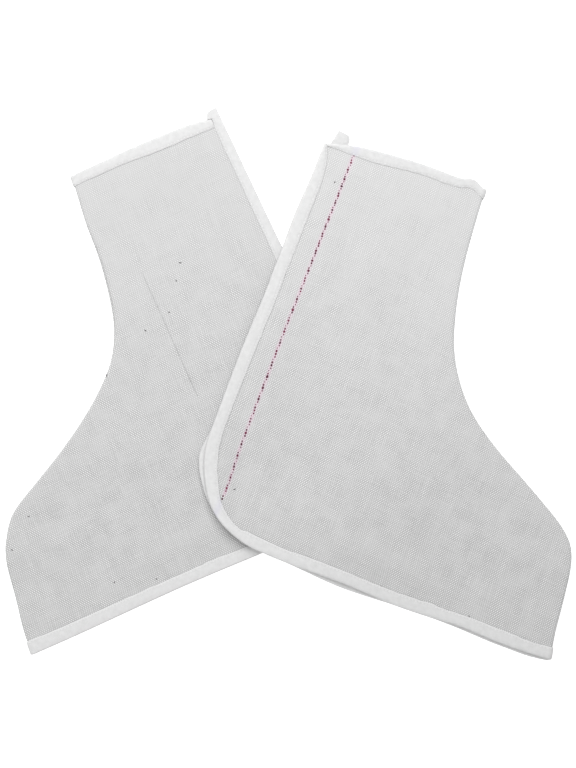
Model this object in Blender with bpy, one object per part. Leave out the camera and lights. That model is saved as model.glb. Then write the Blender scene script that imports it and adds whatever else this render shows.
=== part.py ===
"""Pair of welding shoe covers in white canvas, laid flat on a table, the right cover partly on the left one.

Each cover is cut as two mirrored sides of a boot: straight back, round heel, straight hem, blunt toe, hollow
instep and straight shin. The sides are seamed along the front and open at the back, where the wearer's leg goes
in. One folded tape binds the top edge, and another binds back, heel and hem of both sides, round the toe.

A side is drawn in its own cutting frame, in millimetres: x runs forward from the back edge, y up from the hem.
It is then slid, turned and mirrored to where the cover lies. The height z grows from the table through the
layers: tape, under side, tape, then tape, upper side, tape where an edge is bound.
"""

import math
from collections import namedtuple
from dataclasses import dataclass

import bmesh
import bpy
import numpy as np

MM = 0.001

# Walls and the air between them
CANVAS_WALL = 1.0
TAPE_WALL = 1.0
SEAM_GAP = 0.3
CENTRE_GAP = 0.5
SIDE_REST_GAP = 1.3

# Tape folded over an edge
TAPE_REACH = 11.3
TAPE_BUTT_GAP = 0.4
TAPE_TURN_BLEND = 45.0
TAPER_START = 12.5
TAPER_END = 60.0
TAB_GAP_HALF = 0.25
TAB_STEPS = 2

# The cut of one side
HEEL_RADIUS = 72.0
HEEL_MIDDLE_DEGREES = 225
BACK_LEAN = 8.6

FrontRow = namedtuple("FrontRow", "height left_reach right_reach")
FRONT_EDGE = (
    FrontRow(0, 339.3, 338.6),
    FrontRow(10, 338.2, 336.9),
    FrontRow(25, 336.2, 334.4),
    FrontRow(50, 331.9, 331.4),
    FrontRow(75, 328.4, 328.2),
    FrontRow(90, 324.4, 324.2),
    FrontRow(100, 318.9, 318.0),
    FrontRow(110, 311.4, 307.2),
    FrontRow(120, 299.4, 291.0),
    FrontRow(135, 273.0, 264.4),
    FrontRow(150, 245.4, 237.8),
    FrontRow(165, 220.9, 215.6),
    FrontRow(180, 200.2, 197.6),
    FrontRow(200, 179.4, 181.6),
    FrontRow(220, 166.4, 171.3),
    FrontRow(240, 159.0, 164.2),
    FrontRow(265, 154.0, 158.3),
    FrontRow(290, 151.2, 154.5),
    FrontRow(320, 149.0, 152.2),
    FrontRow(356, 145.0, 150.2),
)

# Height of the top edge at shares of the way from the back corner to the front corner
TopRow = namedtuple("TopRow", "share left_height right_height")
TOP_EDGE = (
    TopRow(0.00, 354.5, 345.5),
    TopRow(0.20, 358.3, 352.2),
    TopRow(0.45, 361.6, 356.6),
    TopRow(0.65, 361.9, 357.4),
    TopRow(0.84, 359.8, 357.3),
    TopRow(0.93, 359.0, 359.6),
    TopRow(1.00, 358.4, 355.6),
)

# Where the under side has slipped out from under the upper side, by a soft round patch
Slip = namedtuple("Slip", "x y radius forward up")
LEFT_SLIPS = (
    Slip(158, 260, 90, 1.4, 0.0),
    Slip(262, 0, 52, 0.0, -1.2),
)
RIGHT_SLIPS = (
    Slip(0, 50, 66, -6.4, -0.6),
    Slip(147, 0, 52, 0.0, -3.3),
    Slip(290, 0, 52, 0.0, -2.8),
    Slip(8, 345, 80, 6.0, 1.0),
)

# Soft swells of the upper side, where air stays between the sides
Swell = namedtuple("Swell", "x y along across turn_degrees rise")
LEFT_SWELLS = (
    Swell(262, 62, 70, 46, 10, 2.0),
    Swell(208, 128, 66, 34, -38, 1.6),
    Swell(112, 285, 34, 78, 8, 1.5),
)
RIGHT_SWELLS = (
    Swell(262, 60, 70, 44, 8, 1.8),
    Swell(150, 92, 74, 46, -12, 1.4),
    Swell(186, 150, 56, 30, -40, 1.7),
    Swell(84, 262, 40, 86, -6, 1.6),
)

# How cloth settles: flat under a bound edge, relaxed further in, and falling off the other cover's edge
EDGE_FLAT = 15.0
UNDER_RELAXED = 60.0
UPPER_RELAXED = 90.0
FRONT_RELAXED = 45.0
COVER_CLEARANCE = 0.5
FALL_LENGTH = 130.0

# Mesh stations as (length of the run, number of steps); None takes what is left of the edge
HALF_HEEL = math.pi / 4 * HEEL_RADIUS
BACK_RUNS = ((HALF_HEEL, 5), (None, 17))
HEM_RUNS = ((HALF_HEEL, 4), (None, 14))
TOP_RUNS = ((None, 18),)
FRONT_RUNS = ((72.0, 3), (46.0, 6), (None, 13))
SHORTEST_STEP = 1.0
FOLD_STEPS = 4
TURN_STEPS = 6
TAPE_FOLD_DEGREES = (0, 45, 90, 135, 180)

# How finely the edges are read
EDGE_DENSITY = 16
ARC_STEPS = 24
SAMPLE_STEP = 2.0

# Looks
CANVAS_COLOUR = (0.66, 0.66, 0.67)
CANVAS_ROUGHNESS = 0.95
TAPE_COLOUR = (0.80, 0.80, 0.80)
TAPE_ROUGHNESS = 0.9
SHARP_EDGE_DEGREES = 40

# Sizes that follow from the walls
TAPE_GAP_HALF = CANVAS_WALL / 2 + SEAM_GAP
CUT_INSET = TAPE_GAP_HALF + TAPE_WALL
LAYER_LIFT = TAPE_WALL + SEAM_GAP
SEAM_INNER = 2 * LAYER_LIFT + CENTRE_GAP
FOLD_RADIUS = CANVAS_WALL + SEAM_INNER / 2
FOLD_MIDDLE = FOLD_RADIUS - CANVAS_WALL / 2
FOLD_AXIS_HEIGHT = LAYER_LIFT + FOLD_RADIUS
BOUND_HEIGHT = 2 * FOLD_AXIS_HEIGHT
REST_HEIGHT = 2 * CANVAS_WALL + SIDE_REST_GAP


def smoothstep(x):
    """0 up to x = 0, 1 from x = 1, and an S curve between them."""
    x = np.clip(x, 0.0, 1.0)
    return x * x * (3 - 2 * x)


def relax(distance, start, end):
    """1 up to the start distance, falling softly to 0 at the end distance."""
    return 1 - smoothstep((distance - start) / (end - start))


def smooth_line(points):
    """A Catmull-Rom curve through the points, as many short chords."""
    points = np.array(points, float)
    ends = (2 * points[0] - points[1], 2 * points[-1] - points[-2])
    knots = np.vstack([ends[0], points, ends[1]])
    t = np.linspace(0, 1, EDGE_DENSITY, endpoint=False)[:, None]
    pieces = []
    for a, b, c, d in zip(knots, knots[1:], knots[2:], knots[3:]):
        curve = 2 * b + (c - a) * t + (2 * a - 5 * b + 4 * c - d) * t**2 + (3 * b - a - 3 * c + d) * t**3
        pieces.append(curve / 2)
    return np.vstack([*pieces, points[-1]])


class Edge:
    """One edge of a side's outline, as a line that can be read at any distance along it."""

    def __init__(self, points, inward):
        """inward is 1 when the cloth lies to the left of the line's direction, and -1 when it lies to the right."""
        self.points = np.array(points, float)
        steps = np.linalg.norm(np.diff(self.points, axis=0), axis=1)
        self.distances = np.concatenate([[0.0], np.cumsum(steps)])
        self.inward_sign = inward

    @property
    def length(self):
        return self.distances[-1]

    def at(self, distance):
        return np.stack([np.interp(distance, self.distances, self.points[:, k]) for k in (0, 1)], axis=-1)

    def tangent(self, distance):
        distance = np.asarray(distance, float)
        ahead = self.at(np.minimum(distance + SAMPLE_STEP, self.length))
        behind = self.at(np.maximum(distance - SAMPLE_STEP, 0))
        return unit(ahead - behind)

    def samples(self):
        return self.at(np.arange(0, self.length, SAMPLE_STEP))

    def inward(self, distance):
        tangent = self.tangent(distance)
        return self.inward_sign * np.stack([-tangent[..., 1], tangent[..., 0]], axis=-1)

    def stations(self, runs, start=0.0, end=0.0):
        """Distances along the edge: each run is a length and its number of steps."""
        distances = [start]
        for length, steps in runs:
            stop = self.length - end if length is None else distances[-1] + length
            distances.extend(np.linspace(distances[-1], stop, steps + 1)[1:])
        return np.array(distances)


def unit(vectors):
    return vectors / np.linalg.norm(vectors, axis=-1, keepdims=True)


def arc(centre, radius, start_degrees, end_degrees):
    angles = np.radians(np.linspace(start_degrees, end_degrees, ARC_STEPS + 1))
    return np.stack([centre[0] + radius * np.cos(angles), centre[1] + radius * np.sin(angles)], axis=-1)


@dataclass(frozen=True)
class Cover:
    """One cover: the columns of the tables it reads, and how it lies on the table."""

    name: str
    reach_column: str
    height_column: str
    heel_corner: tuple
    turn_degrees: float
    mirrored: bool
    slips: tuple
    swells: tuple
    upper_tab: float
    under_tab: float
    tab_slant: float
    upper_end_reach: float

    def place(self, points):
        """Cutting frame to table: mirror the cover that points to the left, turn it and slide it."""
        turn = math.radians(self.turn_degrees)
        x = -points[..., 0] if self.mirrored else points[..., 0]
        y = points[..., 1]
        return np.stack(
            [
                self.heel_corner[0] + x * math.cos(turn) - y * math.sin(turn),
                self.heel_corner[1] + x * math.sin(turn) + y * math.cos(turn),
            ],
            axis=-1,
        )

    def slipped(self, points):
        """The under side's points after it has slid a little under the upper side."""
        moved = points.copy()
        for slip in self.slips:
            away = np.hypot(points[..., 0] - slip.x, points[..., 1] - slip.y) / slip.radius
            share = 1 - smoothstep(away)
            moved[..., 0] += slip.forward * share
            moved[..., 1] += slip.up * share
        return moved


LEFT_COVER = Cover(
    name="left_cover",
    reach_column="left_reach",
    height_column="left_height",
    heel_corner=(92.6, -93.2),
    turn_degrees=23.63,
    mirrored=True,
    slips=LEFT_SLIPS,
    swells=LEFT_SWELLS,
    upper_tab=10.0,
    under_tab=4.0,
    tab_slant=3.5,
    upper_end_reach=TAPE_REACH,
)
RIGHT_COVER = Cover(
    name="right_cover",
    reach_column="right_reach",
    height_column="right_height",
    heel_corner=(-94.4, -116.4),
    turn_degrees=-20.0,
    mirrored=False,
    slips=RIGHT_SLIPS,
    swells=RIGHT_SWELLS,
    upper_tab=0.0,
    under_tab=10.5,
    tab_slant=1.5,
    upper_end_reach=3.0,
)


class Cut:
    """The outline of a side and the grid of points that spans it."""

    def __init__(self, cover):
        self.cover = cover
        silhouette = Edge(
            smooth_line([(getattr(row, cover.reach_column), row.height) for row in FRONT_EDGE]), inward=1
        )
        distance = silhouette.stations(FRONT_RUNS, CUT_INSET, CUT_INSET)
        inward = silhouette.inward(distance)
        self.fold = silhouette.at(distance) + FOLD_RADIUS * inward
        self.fold_outward = -inward
        self.toe_across = unit(self.fold[1] - self.fold[0])
        self.shin_across = unit(self.fold[-2] - self.fold[-1])
        toe_end = self.fold[0] - CUT_INSET * self.toe_across
        shin_end = self.fold[-1] - CUT_INSET * self.shin_across
        heel_centre = (HEEL_RADIUS, HEEL_RADIUS)
        back_corner = (BACK_LEAN, getattr(TOP_EDGE[0], cover.height_column))
        top_points = []
        for row in TOP_EDGE:
            x = back_corner[0] + row.share * (shin_end[0] - back_corner[0])
            top_points.append((x, getattr(row, cover.height_column)))
        top_points[-1] = tuple(shin_end)
        self.silhouette = silhouette
        upper_heel = arc(heel_centre, HEEL_RADIUS, HEEL_MIDDLE_DEGREES, 180)
        lower_heel = arc(heel_centre, HEEL_RADIUS, HEEL_MIDDLE_DEGREES, 270)
        self.back = Edge(np.vstack([upper_heel, back_corner]), inward=-1)
        self.hem = Edge(np.vstack([lower_heel, toe_end]), inward=1)
        self.top = Edge(smooth_line(top_points), inward=-1)
        self.bound_points = np.vstack([edge.samples() for edge in (self.back, self.hem, self.top)])
        self.front_points = silhouette.samples()

    def outline(self):
        """The closed outline of the cover, for telling how far a point lies inside or outside it."""
        return np.vstack(
            [
                self.back.points[::-1],
                self.hem.points,
                self.silhouette.points,
                self.top.points[::-1],
            ]
        )

    def to_bound_edge(self, points):
        return nearest_distance(points, self.bound_points)

    def to_front(self, points):
        return nearest_distance(points, self.front_points)

    def grid(self):
        """A patch spanned between the cut edges of back, hem and top and the front fold."""
        fold = self.fold
        edges = []
        for edge, runs in ((self.back, BACK_RUNS), (self.hem, HEM_RUNS), (self.top, TOP_RUNS)):
            distance = edge.stations(runs)
            edges.append(edge.at(distance) + CUT_INSET * edge.inward(distance))
        back, hem, top = edges
        top_direction = self.top.tangent(0.0)
        back_corner = self.back.points[-1] + CUT_INSET * (top_direction - self.back.tangent(self.back.length))
        back[-1] = top[0] = back_corner
        hem[-1] = fold[0]
        top[-1] = fold[-1]
        u = np.linspace(0, 1, len(hem))[None, :, None]
        v = np.linspace(0, 1, len(back))[:, None, None]
        ruled_across = (1 - u) * back[:, None] + u * fold[:, None]
        ruled_up = (1 - v) * hem[None] + v * top[None]
        corners = (1 - v) * ((1 - u) * hem[0] + u * hem[-1]) + v * ((1 - u) * top[0] + u * top[-1])
        return ruled_across + ruled_up - corners


def nearest_distance(points, line_points):
    flat = points.reshape(-1, 2)
    gaps = np.linalg.norm(flat[:, None] - line_points[None], axis=-1)
    return gaps.min(axis=1).reshape(points.shape[:-1])


def inside(points, outline):
    """Whether each point lies inside the closed outline, by counting the edges that a ray to the right crosses."""
    x, y = points[..., 0], points[..., 1]
    crossings = np.zeros(points.shape[:-1], int)
    for (x0, y0), (x1, y1) in zip(outline, np.roll(outline, -1, axis=0)):
        if y0 == y1:
            continue
        spans = (y0 > y) != (y1 > y)
        crossings += spans & (x < x0 + (y - y0) * (x1 - x0) / (y1 - y0))
    return crossings % 2 == 1


def height_on(lower_cut, points):
    """How high a cover lies at points on the table when it rests partly on the cover below."""
    outline = lower_cut.cover.place(lower_cut.outline())
    bound = lower_cut.cover.place(lower_cut.bound_points)
    to_bound = nearest_distance(points, bound)
    on_top = REST_HEIGHT + (BOUND_HEIGHT - REST_HEIGHT) * relax(to_bound, EDGE_FLAT, UPPER_RELAXED)
    on_top = on_top + COVER_CLEARANCE
    falling = (BOUND_HEIGHT + COVER_CLEARANCE) * relax(to_bound, 0.0, FALL_LENGTH)
    return np.where(inside(points, outline), on_top, falling)


def under_height(cut, points):
    """Height of the under side's lower face: lifted by the tape along bound edges, on the table elsewhere."""
    return LAYER_LIFT * relax(cut.to_bound_edge(points), EDGE_FLAT, UNDER_RELAXED)


def swell_rise(cover, points):
    rise = np.zeros(points.shape[:-1])
    for swell in cover.swells:
        turn = math.radians(swell.turn_degrees)
        x, y = points[..., 0] - swell.x, points[..., 1] - swell.y
        along = x * math.cos(turn) + y * math.sin(turn)
        across = y * math.cos(turn) - x * math.sin(turn)
        rise += swell.rise * (1 - smoothstep(np.hypot(along / swell.along, across / swell.across)))
    return rise


def upper_height(cut, points):
    """Height of the upper side's lower face above the table."""
    bound = relax(cut.to_bound_edge(points), EDGE_FLAT, UPPER_RELAXED)
    front = relax(cut.to_front(points), FOLD_RADIUS, FRONT_RELAXED)
    free = (1 - bound) * (1 - front)
    air = SEAM_INNER + (SIDE_REST_GAP - SEAM_INNER) * free + swell_rise(cut.cover, points) * free
    return under_height(cut, points) + CANVAS_WALL + air


def side_faces(cut, is_upper):
    """The outer and inner face of one side, in the cutting frame, with the quarter turn at the front fold."""
    flat = cut.grid()
    fold, outward = cut.fold, cut.fold_outward
    floor = upper_height(cut, flat) if is_upper else under_height(cut, flat)
    faces = []
    for radius, is_outer in ((FOLD_RADIUS, True), (FOLD_RADIUS - CANVAS_WALL, False)):
        above = is_outer == is_upper
        height = floor + CANVAS_WALL if above else floor
        columns = [np.dstack([flat, height])]
        axis = under_height(cut, fold) + FOLD_RADIUS
        for step in range(1, FOLD_STEPS + 1):
            angle = math.pi / 2 * step / FOLD_STEPS
            rise = max(radius * math.cos(angle), SEAM_GAP / 2)
            column = fold + outward * radius * math.sin(angle)
            level = axis + rise if is_upper else axis - rise
            columns.append(np.dstack([column[:, None], level[:, None]]))
        faces.append(np.concatenate(columns, axis=1))
    return faces


def tape_faces(path):
    """The outer and inner face of a tape folded over an edge, from the stations of its path.

    At each station the tape's section is a U: a leg on each face of the cloth and a half-round fold over the cut
    edge. Where the cloth goes round the front fold, the whole section turns about the fold's axis with it.
    """
    fold_angles = np.radians(TAPE_FOLD_DEGREES)
    side_of_cloth = np.cos(fold_angles)
    depth_in_fold = 1 - np.sin(fold_angles)
    faces = []
    for wall in (TAPE_WALL, 0.0):
        radius = path["gap_half"] + wall
        centre = path["gap_half"] + TAPE_WALL
        offset = radius[:, None] * side_of_cloth[None]
        depth = centre[:, None] - radius[:, None] * (1 - depth_in_fold)[None]
        depth = np.hstack([path["reach"][:, None], depth, path["reach"][:, None]])
        offset = np.hstack([radius[:, None], offset, -radius[:, None]])
        turned = FOLD_MIDDLE + offset
        angle = path["angle"][:, None]
        slant = path["slant"][:, None] * depth / TAPE_REACH
        xy = (
            path["point"][:, None]
            + depth[..., None] * path["across"][:, None]
            + (turned * np.sin(angle))[..., None] * path["outward"][:, None]
            + slant[..., None] * path["along"][:, None]
        )
        z = FOLD_AXIS_HEIGHT + turned * np.cos(angle)
        faces.append(np.dstack([xy, z]))
    return faces


def edge_run(edge, distances, start_across, end_across):
    """Stations along one bound edge: the tape lies square to it, and turns to a set direction at an end."""
    point = edge.at(distances)
    across = edge.inward(distances)
    for direction, away in ((start_across, distances - distances[0]), (end_across, distances[-1] - distances)):
        if direction is not None:
            share = relax(away, 0.0, TAPE_TURN_BLEND)[:, None]
            across = unit(across * (1 - share) + direction * share)
    return point, across


def join_path(upper, under, fold_outward):
    """Upper run, half turn round the front fold, and the under run back, as one path of stations."""
    turn = np.linspace(0, math.pi, TURN_STEPS + 1)[1:-1]
    fold_point, fold_across = upper["point"][-1], upper["across"][-1]
    middle = {
        "point": np.repeat(fold_point[None], len(turn), axis=0),
        "across": np.repeat(fold_across[None], len(turn), axis=0),
        "reach": np.full(len(turn), TAPE_REACH),
        "gap_half": np.full(len(turn), TAPE_GAP_HALF),
        "slant": np.zeros(len(turn)),
        "along": np.repeat(upper["along"][-1:], len(turn), axis=0),
    }
    path = {key: np.concatenate([upper[key], middle[key], under[key][::-1]]) for key in upper}
    path["angle"] = np.concatenate([np.zeros(len(upper["reach"])), turn, np.full(len(under["reach"]), math.pi)])
    path["outward"] = np.repeat(fold_outward[None], len(path["angle"]), axis=0)
    return path


def edge_binding_run(cut, tab, end_reach):
    """Stations of the edge binding on one side: from its cut end down the back, round the heel and to the toe."""
    cover = cut.cover
    up = cut.back.tangent(cut.back.length)
    top_across = cut.top.tangent(0.0)
    back_at = cut.back.stations(BACK_RUNS)
    hem_at = cut.hem.stations(HEM_RUNS)
    back_point, back_across = edge_run(cut.back, back_at, None, top_across)
    hem_point, hem_across = edge_run(cut.hem, hem_at, None, cut.toe_across)
    tab_share = np.linspace(1, 0, TAB_STEPS + 1)[:-1] if tab else np.empty(0)
    tab_point = back_point[-1] + up * (tab * tab_share)[:, None]
    point = np.vstack([tab_point, back_point[::-1], hem_point[1:]])
    across = np.vstack([np.repeat(back_across[-1:], len(tab_share), axis=0), back_across[::-1], hem_across[1:]])
    from_top = np.concatenate([np.zeros(len(tab_share)), cut.back.length - back_at[::-1]])
    from_top = np.concatenate([from_top, np.full(len(hem_at) - 1, cut.back.length)])
    taper = relax(from_top, TAPER_START, TAPER_END)
    reach = TAPE_REACH + (end_reach - TAPE_REACH) * taper
    padded = np.concatenate([tab_share, np.zeros(len(point) - len(tab_share))])
    return {
        "point": point,
        "across": across,
        "reach": reach,
        "gap_half": TAPE_GAP_HALF + (TAB_GAP_HALF - TAPE_GAP_HALF) * padded,
        "slant": -cover.tab_slant * padded,
        "along": np.repeat(up[None], len(point), axis=0),
    }


def top_binding_run(cut, start):
    """Stations of the top binding on one side: from the edge binding's leg forward to the front fold."""
    columns = cut.top.stations(TOP_RUNS)
    distances = np.concatenate([[start], columns[columns > start + SHORTEST_STEP]])
    point, across = edge_run(cut.top, distances, -cut.back.tangent(cut.back.length), cut.shin_across)
    count = len(distances)
    return {
        "point": point,
        "across": across,
        "reach": np.full(count, TAPE_REACH),
        "gap_half": np.full(count, TAPE_GAP_HALF),
        "slant": np.zeros(count),
        "along": np.repeat(cut.top.tangent(0.0)[None], count, axis=0),
    }


def lay(cut, face, under_share, rests_on):
    """Cutting frame to table: slips of the under side, the cover's place, and its height on the other cover."""
    flat = face[..., :2]
    flat = flat + (cut.cover.slipped(flat) - flat) * under_share[..., None]
    flat = cut.cover.place(flat)
    z = face[..., 2]
    if rests_on is not None:
        z = z + height_on(rests_on, flat)
    return np.dstack([flat, z])


def closed_wall(name, outer, inner, material):
    """An object from two grids of the same shape: both faces, and a strip round the rim that joins them."""
    rows, columns = outer.shape[:2]
    front = np.arange(rows * columns).reshape(rows, columns)
    back = front + rows * columns
    faces = []
    for index, order in ((front, 1), (back, -1)):
        quads = np.stack([index[:-1, :-1], index[:-1, 1:], index[1:, 1:], index[1:, :-1]], axis=-1)
        faces.extend(quads.reshape(-1, 4)[:, ::order].tolist())
    rim = [(0, c) for c in range(columns)] + [(r, columns - 1) for r in range(1, rows)]
    rim += [(rows - 1, c) for c in range(columns - 2, -1, -1)] + [(r, 0) for r in range(rows - 2, 0, -1)]
    for a, b in zip(rim, rim[1:] + rim[:1]):
        faces.append([int(front[b]), int(front[a]), int(back[a]), int(back[b])])
    mesh = bpy.data.meshes.new(name)
    points = np.vstack([outer.reshape(-1, 3), inner.reshape(-1, 3)]) * MM
    mesh.from_pydata(points.tolist(), [], faces)
    shape = bmesh.new()
    shape.from_mesh(mesh)
    bmesh.ops.recalc_face_normals(shape, faces=shape.faces)
    shape.to_mesh(mesh)
    shape.free()
    mesh.shade_smooth()
    mesh.set_sharp_from_angle(angle=math.radians(SHARP_EDGE_DEGREES))
    mesh.materials.append(material)
    obj = bpy.data.objects.new(name, mesh)
    bpy.context.scene.collection.objects.link(obj)
    return obj


def cloth_material(name, colour, roughness):
    material = bpy.data.materials.new(name)
    material.use_nodes = True
    shader = material.node_tree.nodes["Principled BSDF"]
    shader.inputs["Base Color"].default_value = (*colour, 1.0)
    shader.inputs["Roughness"].default_value = roughness
    shader.inputs["Metallic"].default_value = 0.0
    return material


def add_side(cut, rests_on, is_upper, material):
    outer, inner = side_faces(cut, is_upper)
    share = np.zeros(outer.shape[:2]) if is_upper else np.ones(outer.shape[:2])
    name = f"{cut.cover.name}_{'upper' if is_upper else 'under'}_side"
    closed_wall(name, lay(cut, outer, share, rests_on), lay(cut, inner, share, rests_on), material)


def add_binding(cut, rests_on, path, name, material):
    outer, inner = tape_faces(path)
    share = np.repeat((path["angle"] / math.pi)[:, None], outer.shape[1], axis=1)
    full_name = f"{cut.cover.name}_{name}"
    closed_wall(full_name, lay(cut, outer, share, rests_on), lay(cut, inner, share, rests_on), material)


def add_cover(cut, rests_on, canvas, tape):
    """The two sides and two bindings of one cover."""
    cover = cut.cover
    add_side(cut, rests_on, False, canvas)
    add_side(cut, rests_on, True, canvas)
    toe_outward = np.array([cut.toe_across[1], -cut.toe_across[0]])
    edge_path = join_path(
        edge_binding_run(cut, cover.upper_tab, cover.upper_end_reach),
        edge_binding_run(cut, cover.under_tab, TAPE_REACH),
        toe_outward,
    )
    add_binding(cut, rests_on, edge_path, "edge_binding", tape)
    shin_outward = np.array([-cut.shin_across[1], cut.shin_across[0]])
    top_path = join_path(
        top_binding_run(cut, cover.upper_end_reach + TAPE_BUTT_GAP),
        top_binding_run(cut, TAPE_REACH + TAPE_BUTT_GAP),
        shin_outward,
    )
    add_binding(cut, rests_on, top_path, "top_binding", tape)


def centre_on_table(objects):
    """Slide everything so that the middle of the outline, seen from above, is the origin."""
    corners = np.array([vertex.co[:] for obj in objects for vertex in obj.data.vertices])
    middle = (corners.min(axis=0) + corners.max(axis=0)) / 2
    floor = corners[:, 2].min()
    for obj in objects:
        for vertex in obj.data.vertices:
            vertex.co.x -= middle[0]
            vertex.co.y -= middle[1]
            vertex.co.z -= floor


def main():
    for obj in list(bpy.data.objects):
        bpy.data.objects.remove(obj, do_unlink=True)
    canvas = cloth_material("heavy_canvas", CANVAS_COLOUR, CANVAS_ROUGHNESS)
    tape = cloth_material("binding_tape", TAPE_COLOUR, TAPE_ROUGHNESS)
    left = Cut(LEFT_COVER)
    right = Cut(RIGHT_COVER)
    add_cover(left, None, canvas, tape)
    add_cover(right, left, canvas, tape)
    centre_on_table(list(bpy.context.scene.collection.objects))


main()
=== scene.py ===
"""Pair of welding shoe covers in white canvas, laid flat on a pale floor, the right one partly on the left.

Each cover has two canvas sides cut like a boot seen from the side, seamed along toe, instep and shin, with
the seam allowance turned in. One folded tape binds the top edge. Another binds back, heel and hem of both
sides, round the toe, and its cut end stands past the top edge. White thread holds both tapes near their inner
edges.

A side is drawn in its own cutting frame, in millimetres: x runs forward from the back edge, y up from the
hem. It is then slid, turned and mirrored to where the cover lies, and made into metres last of all.
"""

import logging
import math
from dataclasses import dataclass
from enum import Enum, IntEnum
from typing import Callable, NamedTuple, Optional

import bmesh
import bpy
import numpy as np
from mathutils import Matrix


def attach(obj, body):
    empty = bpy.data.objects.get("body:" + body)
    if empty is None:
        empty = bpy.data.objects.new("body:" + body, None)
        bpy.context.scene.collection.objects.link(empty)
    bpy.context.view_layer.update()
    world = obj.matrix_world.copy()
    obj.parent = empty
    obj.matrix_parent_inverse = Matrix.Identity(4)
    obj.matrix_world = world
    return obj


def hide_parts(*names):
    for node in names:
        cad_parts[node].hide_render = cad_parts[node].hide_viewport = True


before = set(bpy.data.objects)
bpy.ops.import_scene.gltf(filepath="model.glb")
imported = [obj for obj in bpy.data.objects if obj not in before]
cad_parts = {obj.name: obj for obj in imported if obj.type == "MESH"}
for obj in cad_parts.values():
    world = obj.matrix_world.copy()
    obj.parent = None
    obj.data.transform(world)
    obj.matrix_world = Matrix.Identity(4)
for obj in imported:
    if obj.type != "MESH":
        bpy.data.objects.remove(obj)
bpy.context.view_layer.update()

log = logging.getLogger("shoe_covers")

Array = np.ndarray
Socket = bpy.types.NodeSocket
Material = bpy.types.Material
Colour = tuple[float, float, float]

MM = 0.001
PHOTO_PIXELS_HIGH = 768
PIXEL = 0.85 * MM
ROOT_BODY = "root"

# Walls and the air between them
CANVAS_WALL = 1.0
TAPE_WALL = 1.0
SEAM_GAP = 0.3
CENTRE_GAP = 0.5
SIDE_REST_GAP = 1.3

# Tape folded over an edge
TAPE_REACH = 11.3
TAPE_BUTT_GAP = 0.4
TAPE_TURN_BLEND = 45.0
TAPER_START = 12.5
TAPER_END = 60.0
TAB_GAP_HALF = 0.25

# The cut of one side
HEEL_RADIUS = 72.0
HEEL_MIDDLE_DEGREES = 225
HALF_HEEL = math.pi / 4 * HEEL_RADIUS
BACK_LEAN = 8.6
SAMPLE_STEP = 2.0
EDGE_DENSITY = 16
ARC_STEPS = 48

# How cloth settles: flat under a bound edge, relaxed further in, and falling off the other cover's edge
EDGE_FLAT = 15.0
UNDER_RELAXED = 60.0
UPPER_RELAXED = 90.0
FRONT_RELAXED = 45.0
COVER_CLEARANCE = 0.5
FALL_LENGTH = 130.0

# Unevenness of the upper sides: waves all over, and ripples beside the tapes
LONG_WAVE = 95.0
LONG_WAVE_HEIGHT = 0.35
SHORT_WAVE = 34.0
SHORT_WAVE_HEIGHT = 0.12
PUCKER_START = 3.0
PUCKER_FADE = 9.0
PUCKER_WAVE = 11.0
PUCKER_HEIGHT = 0.14
NOISE_WAVES = 9
NOISE_LENGTHS = (0.6, 1.7)

# The part of 0 to 1 that the finishes' noise mostly keeps to
NOISE_MIDDLE = (0.25, 0.75)

# Meshing
NEAREST_BATCH = 8000
SHARP_EDGE_DEGREES = 50

# Sizes that follow from the walls
TAPE_GAP_HALF = CANVAS_WALL / 2 + SEAM_GAP
CUT_INSET = TAPE_GAP_HALF + TAPE_WALL
LAYER_LIFT = TAPE_WALL + SEAM_GAP
SEAM_INNER = 2 * LAYER_LIFT + CENTRE_GAP
FOLD_RADIUS = CANVAS_WALL + SEAM_INNER / 2
FOLD_MIDDLE = FOLD_RADIUS - CANVAS_WALL / 2
FOLD_AXIS_HEIGHT = LAYER_LIFT + FOLD_RADIUS
BOUND_HEIGHT = 2 * FOLD_AXIS_HEIGHT
REST_HEIGHT = 2 * CANVAS_WALL + SIDE_REST_GAP

Run = tuple[Optional[float], int]

# Coarse stations as (length of the run, number of steps); None takes what is left of the edge
BACK_RUNS: tuple[Run, ...] = ((HALF_HEEL, 5), (None, 17))
HEM_RUNS: tuple[Run, ...] = ((HALF_HEEL, 4), (None, 14))
TOP_RUNS: tuple[Run, ...] = ((None, 18),)
FRONT_RUNS: tuple[Run, ...] = ((72.0, 3), (46.0, 6), (None, 13))


class Layer(Enum):
    """Which of a cover's two sides a piece of canvas is."""

    UNDER = "under"
    UPPER = "upper"


class Binding(Enum):
    """Which of a cover's two tapes a tape is."""

    EDGE = "edge"
    TOP = "top"


class Draw(IntEnum):
    """Which of a cover's random draws a seed is for, added to the cover's own seed."""

    LONG_WAVES = 0
    SHORT_WAVES = 1
    PUCKERS = 2
    TAPE_WIDTH = 5
    TAPE_SURFACE = 6
    STITCHES = 7
    FLOATS = 9


class FrontRow(NamedTuple):
    """Where the front edge lies at one height above the hem.

    The last row stands at the top edge, so its height is taken from the top edge's last row.
    """

    height: float
    left_reach: float
    right_reach: float


class TopRow(NamedTuple):
    """How high the top edge lies at one share of the way from the back corner to the front corner."""

    share: float
    left_height: float
    right_height: float


class Slip(NamedTuple):
    """A soft round patch of one side that has slipped from where it was cut to lie."""

    x: float
    y: float
    radius: float
    forward: float
    up: float


class Swell(NamedTuple):
    """A soft rise or hollow of the upper side, longer than wide and turned in the cutting frame."""

    x: float
    y: float
    along: float
    across: float
    turn_degrees: float
    rise: float


class Fleck(NamedTuple):
    """A dark bit of fibre on the canvas: its place, length and direction."""

    x: float
    y: float
    length: float
    turn_degrees: float


class TapeRow(NamedTuple):
    """How wide the tape shows on the upper side at one distance along a bound edge."""

    distance: float
    width: float


class YarnRow(NamedTuple):
    """How far across the grain a coloured yarn lies at one place along it."""

    along: float
    across: float


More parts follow.
